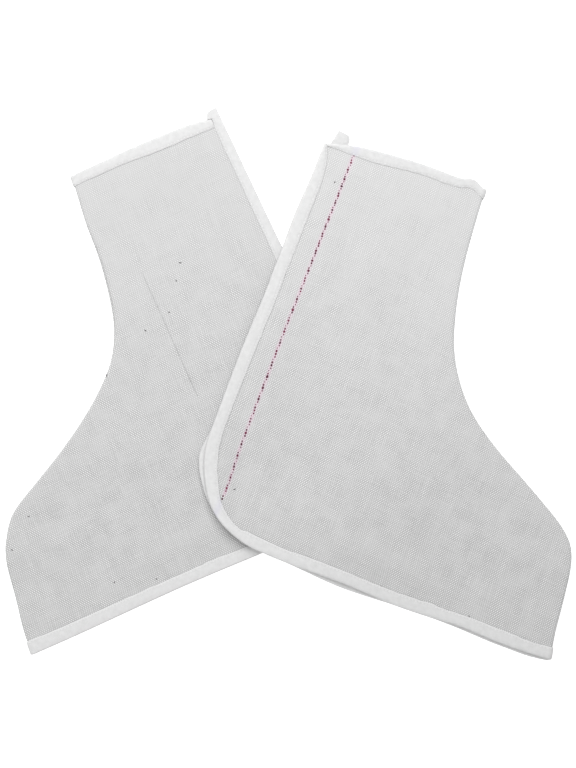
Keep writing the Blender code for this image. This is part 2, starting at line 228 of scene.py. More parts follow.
FRONT_EDGE = (
    FrontRow(0, 338.2, 337.7),
    FrontRow(10, 337.7, 336.0),
    FrontRow(25, 336.2, 333.7),
    FrontRow(50, 331.8, 331.3),
    FrontRow(75, 328.1, 328.2),
    FrontRow(90, 323.8, 324.0),
    FrontRow(100, 318.4, 317.8),
    FrontRow(110, 311.5, 306.4),
    FrontRow(120, 300.4, 290.5),
    FrontRow(135, 272.2, 264.2),
    FrontRow(150, 244.4, 237.2),
    FrontRow(165, 220.3, 214.3),
    FrontRow(180, 199.8, 196.9),
    FrontRow(200, 178.4, 181.3),
    FrontRow(220, 165.4, 170.6),
    FrontRow(240, 158.0, 164.0),
    FrontRow(265, 152.9, 158.2),
    FrontRow(290, 150.0, 154.4),
    FrontRow(320, 149.0, 151.7),
    FrontRow(356, 144.6, 149.5),
)
TOP_EDGE = (
    TopRow(0.00, 354.5, 345.5),
    TopRow(0.20, 358.8, 352.5),
    TopRow(0.45, 360.2, 356.3),
    TopRow(0.65, 360.4, 357.5),
    TopRow(0.84, 359.7, 357.2),
    TopRow(0.93, 359.7, 360.0),
    TopRow(1.00, 359.4, 356.0),
)


def smoothstep(x: Array) -> Array:
    """0 up to x = 0, 1 from x = 1, and the S curve x * x * (3 - 2 x) between them."""
    x = np.clip(x, 0.0, 1.0)
    return x * x * (3 - 2 * x)


def relax(distance: Array, start: float, end: float) -> Array:
    """1 up to the start distance, falling softly to 0 at the end distance."""
    return 1 - smoothstep((distance - start) / (end - start))


def unit(vectors: Array) -> Array:
    """The vectors at length 1."""
    return vectors / np.linalg.norm(vectors, axis=-1, keepdims=True)


def smooth_line(points: list) -> Array:
    """A Catmull-Rom curve through the points, as many short chords.

    Args:
        points: the points that the curve passes, in order.

    Returns:
        The points of the chords.
    """
    points = np.array(points, float)
    knots = np.vstack([2 * points[0] - points[1], points, 2 * points[-1] - points[-2]])
    t = np.linspace(0, 1, EDGE_DENSITY, endpoint=False)[:, None]
    pieces = []
    for a, b, c, d in zip(knots, knots[1:], knots[2:], knots[3:]):
        curve = 2 * b + (c - a) * t + (2 * a - 5 * b + 4 * c - d) * t**2 + (3 * b - a - 3 * c + d) * t**3
        pieces.append(curve / 2)
    return np.vstack([*pieces, points[-1]])


def read_rows(rows: tuple, at: Array) -> Array:
    """A table's second column at these values of its first, along a smooth curve through its rows."""
    curve = smooth_line(rows)
    return np.interp(at, curve[:, 0], curve[:, 1])


def arc(centre: tuple, radius: float, start_degrees: float, end_degrees: float) -> Array:
    """Points along a circle: centre + radius * (cos, sin) of the angle."""
    angles = np.radians(np.linspace(start_degrees, end_degrees, ARC_STEPS + 1))
    return np.stack([centre[0] + radius * np.cos(angles), centre[1] + radius * np.sin(angles)], axis=-1)


def nearest_distance(points: Array, line_points: Array) -> Array:
    """How far each point lies from the nearest of the line's points.

    Args:
        points: an array whose last axis is x, y.
        line_points: the line as close points.

    Returns:
        The distances, in the shape of points without its last axis.
    """
    flat = points.reshape(-1, 2)
    batches = [flat[start : start + NEAREST_BATCH] for start in range(0, len(flat), NEAREST_BATCH)]
    gaps = [np.linalg.norm(batch[:, None] - line_points[None], axis=-1).min(axis=1) for batch in batches]
    return np.concatenate(gaps).reshape(points.shape[:-1])


def inside(points: Array, outline: Array) -> Array:
    """Whether each point lies inside the closed outline: a ray to its right crosses an odd number of edges.

    Args:
        points: an array whose last axis is x, y.
        outline: the outline's corners, in order.

    Returns:
        True or False, in the shape of points without its last axis.
    """
    x, y = points[..., 0], points[..., 1]
    crossings = np.zeros(points.shape[:-1], int)
    for (x0, y0), (x1, y1) in zip(outline, np.roll(outline, -1, axis=0)):
        if y0 == y1:
            continue
        spans = (y0 > y) != (y1 > y)
        crossings += spans & (x < x0 + (y - y0) * (x1 - x0) / (y1 - y0))
    return crossings % 2 == 1


def soft_noise(points: Array, wavelength: float, seed: int) -> Array:
    """Smooth noise between about -1 and 1: a sum of cosine waves in random directions.

    Args:
        points: an array whose last axis holds the coordinates, in millimetres.
        wavelength: the waves' middle length.
        seed: where the random draws start.

    Returns:
        The noise, in the shape of points without its last axis.
    """
    rng = np.random.default_rng(seed)
    total = np.zeros(points.shape[:-1])
    for _ in range(NOISE_WAVES):
        direction = unit(rng.normal(size=points.shape[-1]))
        length = wavelength * rng.uniform(*NOISE_LENGTHS)
        phase = rng.uniform(0, 2 * math.pi)
        total += np.cos(2 * math.pi * (points @ direction) / length + phase)
    return total / math.sqrt(2 * NOISE_WAVES)


class Edge:
    """One edge of a side's outline, as a line that can be read at any distance along it."""

    def __init__(self, points: Array, inward: int) -> None:
        """Measure the line.

        Args:
            points: the line's points, in order.
            inward: 1 when the cloth lies to the left of the line's direction, -1 when it lies to the right.
        """
        self.points = np.array(points, float)
        steps = np.linalg.norm(np.diff(self.points, axis=0), axis=1)
        self.distances = np.concatenate([[0.0], np.cumsum(steps)])
        self.inward_sign = inward

    @property
    def length(self) -> float:
        """The line's whole length."""
        return float(self.distances[-1])

    def at(self, distance: Array) -> Array:
        """The points at these distances along the line."""
        return np.stack([np.interp(distance, self.distances, self.points[:, k]) for k in (0, 1)], axis=-1)

    def tangent(self, distance: Array) -> Array:
        """The line's direction: the chord from a sample step behind to one ahead.

        Args:
            distance: where along the line.

        Returns:
            The directions, at length 1.
        """
        distance = np.asarray(distance, float)
        ahead = self.at(np.minimum(distance + SAMPLE_STEP, self.length))
        behind = self.at(np.maximum(distance - SAMPLE_STEP, 0))
        return unit(ahead - behind)

    def inward(self, distance: Array) -> Array:
        """The direction across the line, into the cloth."""
        tangent = self.tangent(distance)
        return self.inward_sign * np.stack([-tangent[..., 1], tangent[..., 0]], axis=-1)

    def samples(self) -> Array:
        """Close points along the line."""
        return self.at(np.arange(0, self.length, SAMPLE_STEP))

    def stations(
        self, runs: tuple[Run, ...], start: float = 0.0, end: float = 0.0, fineness: int = 1
    ) -> Array:
        """Distances along the edge at which meshes have their rows.

        Args:
            runs: each run's length, None for what is left, and its number of steps.
            start: how far from the line's start the stations begin.
            end: how far before the line's end they stop.
            fineness: how many steps each of the table's steps is cut into.

        Returns:
            The distances, growing.
        """
        distances = [start]
        for length, steps in runs:
            stop = self.length - end if length is None else distances[-1] + length
            distances.extend(np.linspace(distances[-1], stop, steps * fineness + 1)[1:])
        return np.array(distances)


@dataclass(frozen=True)
class CoverShape:
    """One cover: the columns of the tables it reads, how it lies, and what shows on its canvas."""

    name: str
    reach_column: str
    height_column: str
    heel_corner: tuple[float, float]
    turn_degrees: float
    mirrored: bool
    under_slips: tuple[Slip, ...]
    upper_slips: tuple[Slip, ...]
    swells: tuple[Swell, ...]
    back_tape: tuple[TapeRow, ...]
    hem_tape: tuple[TapeRow, ...]
    top_tape: tuple[TapeRow, ...]
    upper_tab: float
    under_tab: float
    tab_slant: float
    tab_lean: float
    tab_base_reach: float
    tab_end_reach: float
    upper_end_reach: float
    grain_tilt: float
    yarn: tuple[YarnRow, ...]
    yarn_through: float
    flecks: tuple[Fleck, ...]
    seed: int

    def place(self, points: Array) -> Array:
        """Cutting frame to floor: mirror the cover that points to the left, turn it and slide it.

        Args:
            points: places in the cutting frame.

        Returns:
            The places on the floor.
        """
        turn = math.radians(self.turn_degrees)
        x = -points[..., 0] if self.mirrored else points[..., 0]
        y = points[..., 1]
        return np.stack(
            [
                self.heel_corner[0] + x * math.cos(turn) - y * math.sin(turn),
                self.heel_corner[1] + x * math.sin(turn) + y * math.cos(turn),
            ],
            axis=-1,
        )

    def slipped(self, points: Array, layer: Layer) -> Array:
        """One side's points after it has slid a little: each slip's move times an S curve of the distance.

        Args:
            points: places in the cutting frame, as they were cut.
            layer: the side.

        Returns:
            The places as they lie.
        """
        moved = points.copy()
        for slip in self.upper_slips if layer is Layer.UPPER else self.under_slips:
            away = np.hypot(points[..., 0] - slip.x, points[..., 1] - slip.y) / slip.radius
            share = 1 - smoothstep(away)
            moved[..., 0] += slip.forward * share
            moved[..., 1] += slip.up * share
        return moved

    def swell_rise(self, points: Array) -> Array:
        """How far the swells lift the upper side: each rise times an S curve of the distance in its oval.

        Args:
            points: places in the cutting frame.

        Returns:
            The rise at each.
        """
        rise = np.zeros(points.shape[:-1])
        for swell in self.swells:
            turn = math.radians(swell.turn_degrees)
            x, y = points[..., 0] - swell.x, points[..., 1] - swell.y
            along = x * math.cos(turn) + y * math.sin(turn)
            across = y * math.cos(turn) - x * math.sin(turn)
            rise += swell.rise * (1 - smoothstep(np.hypot(along / swell.along, across / swell.across)))
        return rise

    def grain(self, points: Array) -> Array:
        """Cutting frame to grain: how far across and along the yarns, which lean by the grain tilt."""
        x, y = points[..., 0], points[..., 1]
        return np.stack([x - self.grain_tilt * y, y + self.grain_tilt * x], axis=-1)

    def from_yarn(self, grain: Array) -> Array:
        """How far across the grain places (across, along) lie from the coloured yarn."""
        return grain[..., 0] - read_rows(self.yarn, grain[..., 1])

    def off_grain(self, across: Array, along: Array) -> Array:
        """Grain to cutting frame, the reverse of grain()."""
        xy = np.stack([across + self.grain_tilt * along, along - self.grain_tilt * across], axis=-1)
        return xy / (1 + self.grain_tilt**2)


# The middle of the pair's outline, seen from above, which is the origin
CENTRE = (0.268, 2.510)

LEFT_COVER = CoverShape(
    name="left_cover",
    reach_column="left_reach",
    height_column="left_height",
    heel_corner=(92.6 - CENTRE[0], -93.2 - CENTRE[1]),
    turn_degrees=23.63,
    mirrored=True,
    under_slips=(
        Slip(158, 260, 90, 1.4, 0.0),
        Slip(192, 0, 125, 0.0, 1.8),
    ),
    upper_slips=(Slip(192, 0, 125, 0.0, 1.8),),
    swells=(
        Swell(262, 62, 70, 46, 10, 2.0),
        Swell(208, 128, 66, 34, -38, 1.6),
        Swell(112, 285, 34, 78, 8, 1.5),
    ),
    back_tape=(
        TapeRow(0, 7.8),
        TapeRow(24, 8.6),
        TapeRow(51, 8.5),
        TapeRow(87, 8.9),
        TapeRow(200, 9.4),
        TapeRow(360, 10.2),
    ),
    hem_tape=(
        TapeRow(0, 10.2),
        TapeRow(118, 10.3),
        TapeRow(148, 11.0),
        TapeRow(176, 10.6),
        TapeRow(286, 11.4),
        TapeRow(321, 12.4),
    ),
    top_tape=(
        TapeRow(0, 6.4),
        TapeRow(7, 7.5),
        TapeRow(19, 9.5),
        TapeRow(44, 11.2),
        TapeRow(68, 11.2),
        TapeRow(95, 9.4),
        TapeRow(121, 9.1),
        TapeRow(136, 8.8),
    ),
    upper_tab=8.8,
    under_tab=4.0,
    tab_slant=3.2,
    tab_lean=0.0,
    tab_base_reach=11.8,
    tab_end_reach=8.4,
    upper_end_reach=7.4,
    grain_tilt=0.0,
    yarn=(YarnRow(143, 121.2), YarnRow(160, 121.8), YarnRow(205, 122.0), YarnRow(256, 122.5)),
    yarn_through=0.0,
    flecks=(
        Fleck(89.7, 254.6, 1.6, 30),
        Fleck(98.9, 242.1, 1.2, 95),
        Fleck(115.0, 219.9, 1.1, 10),
        Fleck(139.8, 213.7, 1.6, 60),
        Fleck(215.6, 15.2, 1.2, 20),
        Fleck(249.5, 27.7, 1.4, 130),
        Fleck(318.2, 88.4, 1.5, 70),
        Fleck(293.8, 108.8, 1.3, 15),
        Fleck(185.3, 192.3, 1.8, 125),
    ),
    seed=11,
)
RIGHT_COVER = CoverShape(
    name="right_cover",
    reach_column="right_reach",
    height_column="right_height",
    heel_corner=(-94.4 - CENTRE[0], -116.4 - CENTRE[1]),
    turn_degrees=-20.0,
    mirrored=False,
    under_slips=(
        Slip(0, 60, 28, -2.7, 0.0),
        Slip(25, 22, 30, 0.5, 0.2),
        Slip(40, 6, 66, 0.0, 2.6),
        Slip(147, 0, 56, 0.0, -3.6),
        Slip(205, 0, 72, 0.0, -2.7),
        Slip(292, 0, 70, 0.0, -4.1),
        Slip(322, 0, 28, 0.0, -1.4),
        Slip(8, 345, 80, 3.6, 1.0),
    ),
    upper_slips=(
        Slip(6, 42, 46, 2.7, 1.0),
        Slip(40, 6, 66, 0.0, 2.6),
        Slip(205, 0, 60, 0.0, -2.5),
        Slip(300, 0, 60, 0.0, -2.0),
        Slip(8, 335, 60, -1.1, 0.0),
        Slip(0, 280, 42, -2.3, 0.0),
        Slip(0, 240, 40, -1.2, 0.0),
        Slip(0, 158, 90, -1.45, 0.0),
    ),
    swells=(
        Swell(262, 60, 70, 44, 8, 1.8),
        Swell(150, 92, 74, 46, -12, 1.4),
        Swell(186, 150, 56, 30, -40, 1.7),
        Swell(84, 262, 40, 86, -6, 1.6),
    ),
    back_tape=(
        TapeRow(0, 2.2),
        TapeRow(15, 7.6),
        TapeRow(32, 9.9),
        TapeRow(66, 10.9),
        TapeRow(90, 10.6),
        TapeRow(117, 10.4),
        TapeRow(150, 11.0),
        TapeRow(179, 11.2),
        TapeRow(219, 10.7),
        TapeRow(248, 10.3),
        TapeRow(262, 10.6),
        TapeRow(274, 11.4),
        TapeRow(288, 12.1),
        TapeRow(303, 11.7),
        TapeRow(315, 11.3),
        TapeRow(330, 9.6),
    ),
    hem_tape=(
        TapeRow(0, 9.6),
        TapeRow(9, 9.2),
        TapeRow(33, 7.9),
        TapeRow(42, 10.3),
        TapeRow(55, 10.8),
        TapeRow(77, 10.2),
        TapeRow(98, 10.8),
        TapeRow(131, 10.4),
        TapeRow(152, 10.0),
        TapeRow(190, 10.9),
        TapeRow(211, 11.2),
        TapeRow(225, 9.8),
        TapeRow(254, 10.5),
        TapeRow(280, 10.8),
        TapeRow(307, 9.8),
        TapeRow(319, 10.7),
    ),
    top_tape=(
        TapeRow(0, 1.9),
        TapeRow(2, 2.1),
        TapeRow(12, 4.4),
        TapeRow(22, 7.2),
        TapeRow(33, 9.0),
        TapeRow(48, 10.3),
        TapeRow(67, 9.6),
        TapeRow(86, 8.7),
        TapeRow(106, 8.5),
        TapeRow(137, 7.4),
    ),
    upper_tab=0.0,
    under_tab=12.9,
    tab_slant=4.3,
    tab_lean=3.2,
    tab_base_reach=16.0,
    tab_end_reach=9.7,
    upper_end_reach=2.2,
    grain_tilt=0.0288,
    yarn=(
        YarnRow(31, 27.4),
        YarnRow(90, 26.5),
        YarnRow(150, 26.5),
        YarnRow(210, 25.3),
        YarnRow(270, 25.0),
        YarnRow(345, 25.3),
    ),
    yarn_through=0.3,
    flecks=(
        Fleck(35.8, 42.0, 1.9, 40),
        Fleck(27.9, 317.1, 1.2, 80),
        Fleck(181.1, 10.1, 1.3, 15),
        Fleck(260.3, 10.7, 1.3, 110),
    ),
    seed=23,
)


class CoverCut:
    """A cover's outline, the grid of points that spans it, and how high the cloth lies at each."""

    def __init__(self, shape: CoverShape) -> None:
        """Work out the four edges: the front's silhouette, the back, the hem and the top.

        Args:
            shape: the cover's table columns and its place.
        """
        self.shape = shape
        rows = [(getattr(row, shape.reach_column), row.height) for row in FRONT_EDGE]
        rows[-1] = (rows[-1][0], getattr(TOP_EDGE[-1], shape.height_column))
        self.silhouette = Edge(smooth_line(rows), inward=1)
        fold, outward = self.fold_line(1)
        self.toe_across = unit(fold[1] - fold[0])
        self.shin_across = unit(fold[-2] - fold[-1])
        toe_end = fold[0] - CUT_INSET * self.toe_across
        shin_end = fold[-1] - CUT_INSET * self.shin_across
        heel_centre = (HEEL_RADIUS, HEEL_RADIUS)
        back_corner = (BACK_LEAN, getattr(TOP_EDGE[0], shape.height_column))
        top_points = []
        for row in TOP_EDGE:
            x = back_corner[0] + row.share * (shin_end[0] - back_corner[0])
            top_points.append((x, getattr(row, shape.height_column)))
        top_points[-1] = tuple(shin_end)
        upper_heel = arc(heel_centre, HEEL_RADIUS, HEEL_MIDDLE_DEGREES, 180)
        lower_heel = arc(heel_centre, HEEL_RADIUS, HEEL_MIDDLE_DEGREES, 270)
        self.back = Edge(np.vstack([upper_heel, back_corner]), inward=-1)
        self.hem = Edge(np.vstack([lower_heel, toe_end]), inward=1)
        self.top = Edge(smooth_line(top_points), inward=-1)
        self.bound_points = np.vstack([edge.samples() for edge in (self.back, self.hem, self.top)])
        self.front_points = self.silhouette.samples()

    def fold_line(self, fineness: int) -> tuple[Array, Array]:
        """The axis that the cloth folds about along the front, a fold radius inside the silhouette.

        Args:
            fineness: how many steps each of the front's steps is cut into.

        Returns:
            The axis's points and the directions outward from them.
        """
        distance = self.silhouette.stations(FRONT_RUNS, CUT_INSET, CUT_INSET, fineness)
        inward = self.silhouette.inward(distance)
        return self.silhouette.at(distance) + FOLD_RADIUS * inward, -inward

    def outline(self) -> Array:
        """The closed outline of the cover."""
        back, top = self.back.points[::-1], self.top.points[::-1]
        return np.vstack([back, self.hem.points, self.silhouette.points, top])

    def area(self) -> float:
        """The flat area of one side in square metres, by the shoelace formula."""
        x, y = (self.outline() * MM).T
        return float(abs(np.sum(x * np.roll(y, -1) - np.roll(x, -1) * y)) / 2)

    def to_bound_edge(self, points: Array) -> Array:
        """How far each point lies from the nearest bound edge."""
        return nearest_distance(points, self.bound_points)

    def to_front(self, points: Array) -> Array:
        """How far each point lies from the front's silhouette."""
        return nearest_distance(points, self.front_points)

    def showing(self, edge: Edge, distance: Array) -> Array:
        """How wide the tape shows on the upper side.

        Args:
            edge: one of the bound edges.
            distance: where along it.

        Returns:
            The widths.
        """
        if edge is self.back:
            return read_rows(self.shape.back_tape, edge.length - distance)
        return read_rows(self.shape.hem_tape if edge is self.hem else self.shape.top_tape, distance)

    def to_rim(self, points: Array, layer: Layer) -> Array:
        """How far each point lies from the rim of the tapes on one side of the cover.

        Args:
            points: places in the cutting frame.
            layer: the side.

        Returns:
            The distances.
        """
        rims = []
        for edge in (self.back, self.hem, self.top):
            distance = np.arange(0, edge.length, SAMPLE_STEP / 2)
            width = np.full(len(distance), TAPE_REACH)
            if layer is Layer.UPPER:
                width = self.showing(edge, distance)
            rims.append(edge.at(distance) + width[:, None] * edge.inward(distance))
        return nearest_distance(points, np.vstack(rims))

    def grid(self, fineness: int) -> Array:
        """A Coons patch between the cut edges of back, hem and top and the front's fold line.

        The patch is the blend across from back to front, plus the blend up from hem to top, less the blend of
        the four corners.

        Args:
            fineness: how many steps each of the edges' steps is cut into.

        Returns:
            The points, rows from hem to top and columns from back to front.
        """
        fold, _ = self.fold_line(fineness)
        edges = []
        for edge, runs in ((self.back, BACK_RUNS), (self.hem, HEM_RUNS), (self.top, TOP_RUNS)):
            distance = edge.stations(runs, fineness=fineness)
            edges.append(edge.at(distance) + CUT_INSET * edge.inward(distance))
        back, hem, top = edges
        corner_shift = self.top.tangent(0.0) - self.back.tangent(self.back.length)
        back[-1] = top[0] = self.back.points[-1] + CUT_INSET * corner_shift
        hem[-1] = fold[0]
        top[-1] = fold[-1]
        u = np.linspace(0, 1, len(hem))[None, :, None]
        v = np.linspace(0, 1, len(back))[:, None, None]
        across = (1 - u) * back[:, None] + u * fold[:, None]
        up = (1 - v) * hem[None] + v * top[None]
        corners = (1 - v) * ((1 - u) * hem[0] + u * hem[-1]) + v * ((1 - u) * top[0] + u * top[-1])
        return across + up - corners

    def under_height(self, points: Array) -> Array:
        """Height of the under side's lower face: on the floor, but lifted by the tape along bound edges."""
        return LAYER_LIFT * relax(self.to_bound_edge(points), EDGE_FLAT, UNDER_RELAXED)

    def upper_height(self, points: Array) -> Array:
        """Height of the upper side's lower face.

        The under side's height, its wall, and air that is wide beside tapes and the front and narrow
        elsewhere, where the swells and the cloth's own soft waves are added.

        Args:
            points: places in the cutting frame.

        Returns:
            The heights.
        """
        to_bound = self.to_bound_edge(points)
        bound = relax(to_bound, EDGE_FLAT, UPPER_RELAXED)
        front = relax(self.to_front(points), FOLD_RADIUS, FRONT_RELAXED)
        free = (1 - bound) * (1 - front)
        rise = self.shape.swell_rise(points) + self.waves(points)
        air = SEAM_INNER + (SIDE_REST_GAP - SEAM_INNER) * free + rise * free
        air = air + self.puckers(points, to_bound) * (1 - front)
        return self.under_height(points) + CANVAS_WALL + air

    def waves(self, points: Array) -> Array:
        """The unevenness of canvas that has been folded and pressed: long waves and shorter ones.

        Args:
            points: places in the cutting frame.

        Returns:
            The waves' heights.
        """
        long_waves = LONG_WAVE_HEIGHT * soft_noise(points, LONG_WAVE, self.shape.seed + Draw.LONG_WAVES)
        short_waves = soft_noise(points, SHORT_WAVE, self.shape.seed + Draw.SHORT_WAVES)
        return long_waves + SHORT_WAVE_HEIGHT * short_waves

    def puckers(self, points: Array, to_bound: Array) -> Array:
        """Small ripples that the tape's stitches draw into the canvas, fading away from the tape.

        Args:
            points: places in the cutting frame.
            to_bound: how far each lies from a bound edge.

        Returns:
            The ripples' heights.
        """
        beyond = to_bound - TAPE_REACH - CUT_INSET
        share = smoothstep(beyond / PUCKER_START) * np.exp(-np.maximum(beyond, 0) / PUCKER_FADE)
        return PUCKER_HEIGHT * share * soft_noise(points, PUCKER_WAVE, self.shape.seed + Draw.PUCKERS)


def height_on(lower: CoverCut, points: Array) -> Array:
    """How high a cover lies at points on the floor when it rests partly on the cover below.

    Over the lower cover it lies on its top face, highest over the bound edges. Beyond the lower cover's edges
    it falls back to the floor along an S curve.

    Args:
        lower: the cover below.
        points: places on the floor.

    Returns:
        The heights.
    """
    outline = lower.shape.place(lower.outline())
    to_bound = nearest_distance(points, lower.shape.place(lower.bound_points))
    on_top = REST_HEIGHT + (BOUND_HEIGHT - REST_HEIGHT) * relax(to_bound, EDGE_FLAT, UPPER_RELAXED)
    falling = (BOUND_HEIGHT + COVER_CLEARANCE) * relax(to_bound, 0.0, FALL_LENGTH)
    return np.where(inside(points, outline), on_top + COVER_CLEARANCE, falling)


def lay(cut: CoverCut, points: Array, under_share: Array, rests_on: Optional[CoverCut]) -> Array:
    """Cutting frame to floor: both sides' slips, the cover's place, and its height on the other cover.

    Args:
        cut: the cover's cut.
        points: the points, with their height as the third coordinate.
        under_share: 0 for points of the upper side, 1 for points of the under side.
        rests_on: the cover below, or None.

    Returns:
        The points in millimetres in the scene's frame.
    """
    upper = cut.shape.slipped(points[..., :2], Layer.UPPER)
    under = cut.shape.slipped(points[..., :2], Layer.UNDER)
    flat = cut.shape.place(upper + (under - upper) * under_share[..., None])
    z = points[..., 2]
    if rests_on is not None:
        z = z + height_on(rests_on, flat)
    return np.concatenate([flat, z[..., None]], axis=-1)


def grid_quads(rows: int, columns: int, start: int = 0) -> Array:
    """The faces of a grid whose points are numbered row by row.

    Args:
        rows: how many rows of points it has.
        columns: how many points a row has.
        start: the first point's number.

    Returns:
        Each face's four corner numbers.
    """
    index = start + np.arange(rows * columns).reshape(rows, columns)
    quads = np.stack([index[:-1, :-1], index[:-1, 1:], index[1:, 1:], index[1:, :-1]], axis=-1)
    return quads.reshape(-1, 4)


def rim_quads(rows: int, columns: int) -> Array:
    """The strip of faces between the rims of two grids of one size, the second numbered after the first.

    Args:
        rows: how many rows of points each has.
        columns: how many points a row has.

    Returns:
        Each face's four corner numbers.
    """
    index = np.arange(rows * columns).reshape(rows, columns)
    rim = np.concatenate([index[0, :-1], index[:-1, -1], index[-1, :0:-1], index[:0:-1, 0]])
    following = np.roll(rim, -1)
    return np.stack([following, rim, rim + rows * columns, following + rows * columns], axis=-1)


def add_object(name: str, data: bpy.types.ID) -> bpy.types.Object:
    """A new object with this data, in the scene.

    Args:
        name: the object's name.
        data: its mesh, light or camera.

    Returns:
        The object, at the origin and unturned.
    """
    made = bpy.data.objects.new(name, data)
    bpy.context.scene.collection.objects.link(made)
    return made


def add_piece(
    name: str,
    points: Array,
    faces: list,
    material: Material,
    weave: Optional[Array] = None,
    marks: Optional[dict[str, Array]] = None,
) -> bpy.types.Object:
    """A closed piece from its points and faces, riding on the pair's one body.

    Args:
        name: the piece's name.
        points: its points in millimetres.
        faces: the corner numbers of each face.
        material: its finish.
        weave: for each point, its place on the cloth in millimetres, for the UV map.
        marks: for each named mark, one number at each point, for the finish to read.

    Returns:
        The new object.
    """
    mesh = bpy.data.meshes.new(name)
    mesh.from_pydata((points.reshape(-1, 3) * MM).tolist(), [], faces)
    if weave is not None:
        corners = np.empty(len(mesh.loops), np.int32)
        mesh.loops.foreach_get("vertex_index", corners)
        layer = mesh.uv_layers.new(name="weave")
        layer.data.foreach_set("uv", (weave.reshape(-1, 2)[corners] * MM).ravel())
    for mark, values in (marks or {}).items():
        attribute = mesh.attributes.new(mark, "FLOAT", "POINT")
        attribute.data.foreach_set("value", values.ravel().astype(np.float32))
    outward = bmesh.new()
    outward.from_mesh(mesh)
    bmesh.ops.recalc_face_normals(outward, faces=outward.faces)
    outward.to_mesh(mesh)
    outward.free()
    mesh.shade_smooth()
    mesh.set_sharp_from_angle(angle=math.radians(SHARP_EDGE_DEGREES))
    mesh.materials.append(material)
    piece = add_object(name, mesh)
    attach(piece, ROOT_BODY)
    log.info("%s: %d faces", name, len(mesh.polygons))
    return piece


class Shell(NamedTuple):
    """A cloth's two faces as grids of one size in the cutting frame, and what each point of a grid carries.

    The under share is 0 on the upper side and 1 on the under one. The places are on the unrolled cloth.
    """

    outer: Array
    inner: Array
    under_share: Array
    places: Array
    marks: dict[str, Array]


def add_cloth(
    name: str,
    node: str,
    cut: CoverCut,
    shell: Shell,
    rests_on: Optional[CoverCut],
    material: Material,
) -> bpy.types.Object:
    """A closed piece of cloth, laid in its place, that stands for its solid.

    Args:
        name: the piece's name.
        node: the solid's name.
        cut: the cut of its cover.
        shell: its two faces.
        rests_on: the cover below, or None.
        material: its finish.

    Returns:
        The new object.
    """
    rows, columns = shell.under_share.shape
    points = np.stack([lay(cut, face, shell.under_share, rests_on) for face in (shell.outer, shell.inner)])
    outer_faces = grid_quads(rows, columns)
    inner_faces = grid_quads(rows, columns, rows * columns)[:, ::-1]
    faces = np.vstack([outer_faces, inner_faces, rim_quads(rows, columns)]).tolist()
    marks = {mark: np.stack([values, values]) for mark, values in shell.marks.items()}
    weave = np.stack([shell.places, shell.places])
    piece = add_piece(name, points, faces, material, weave, marks)
    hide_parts(node)
    return piece


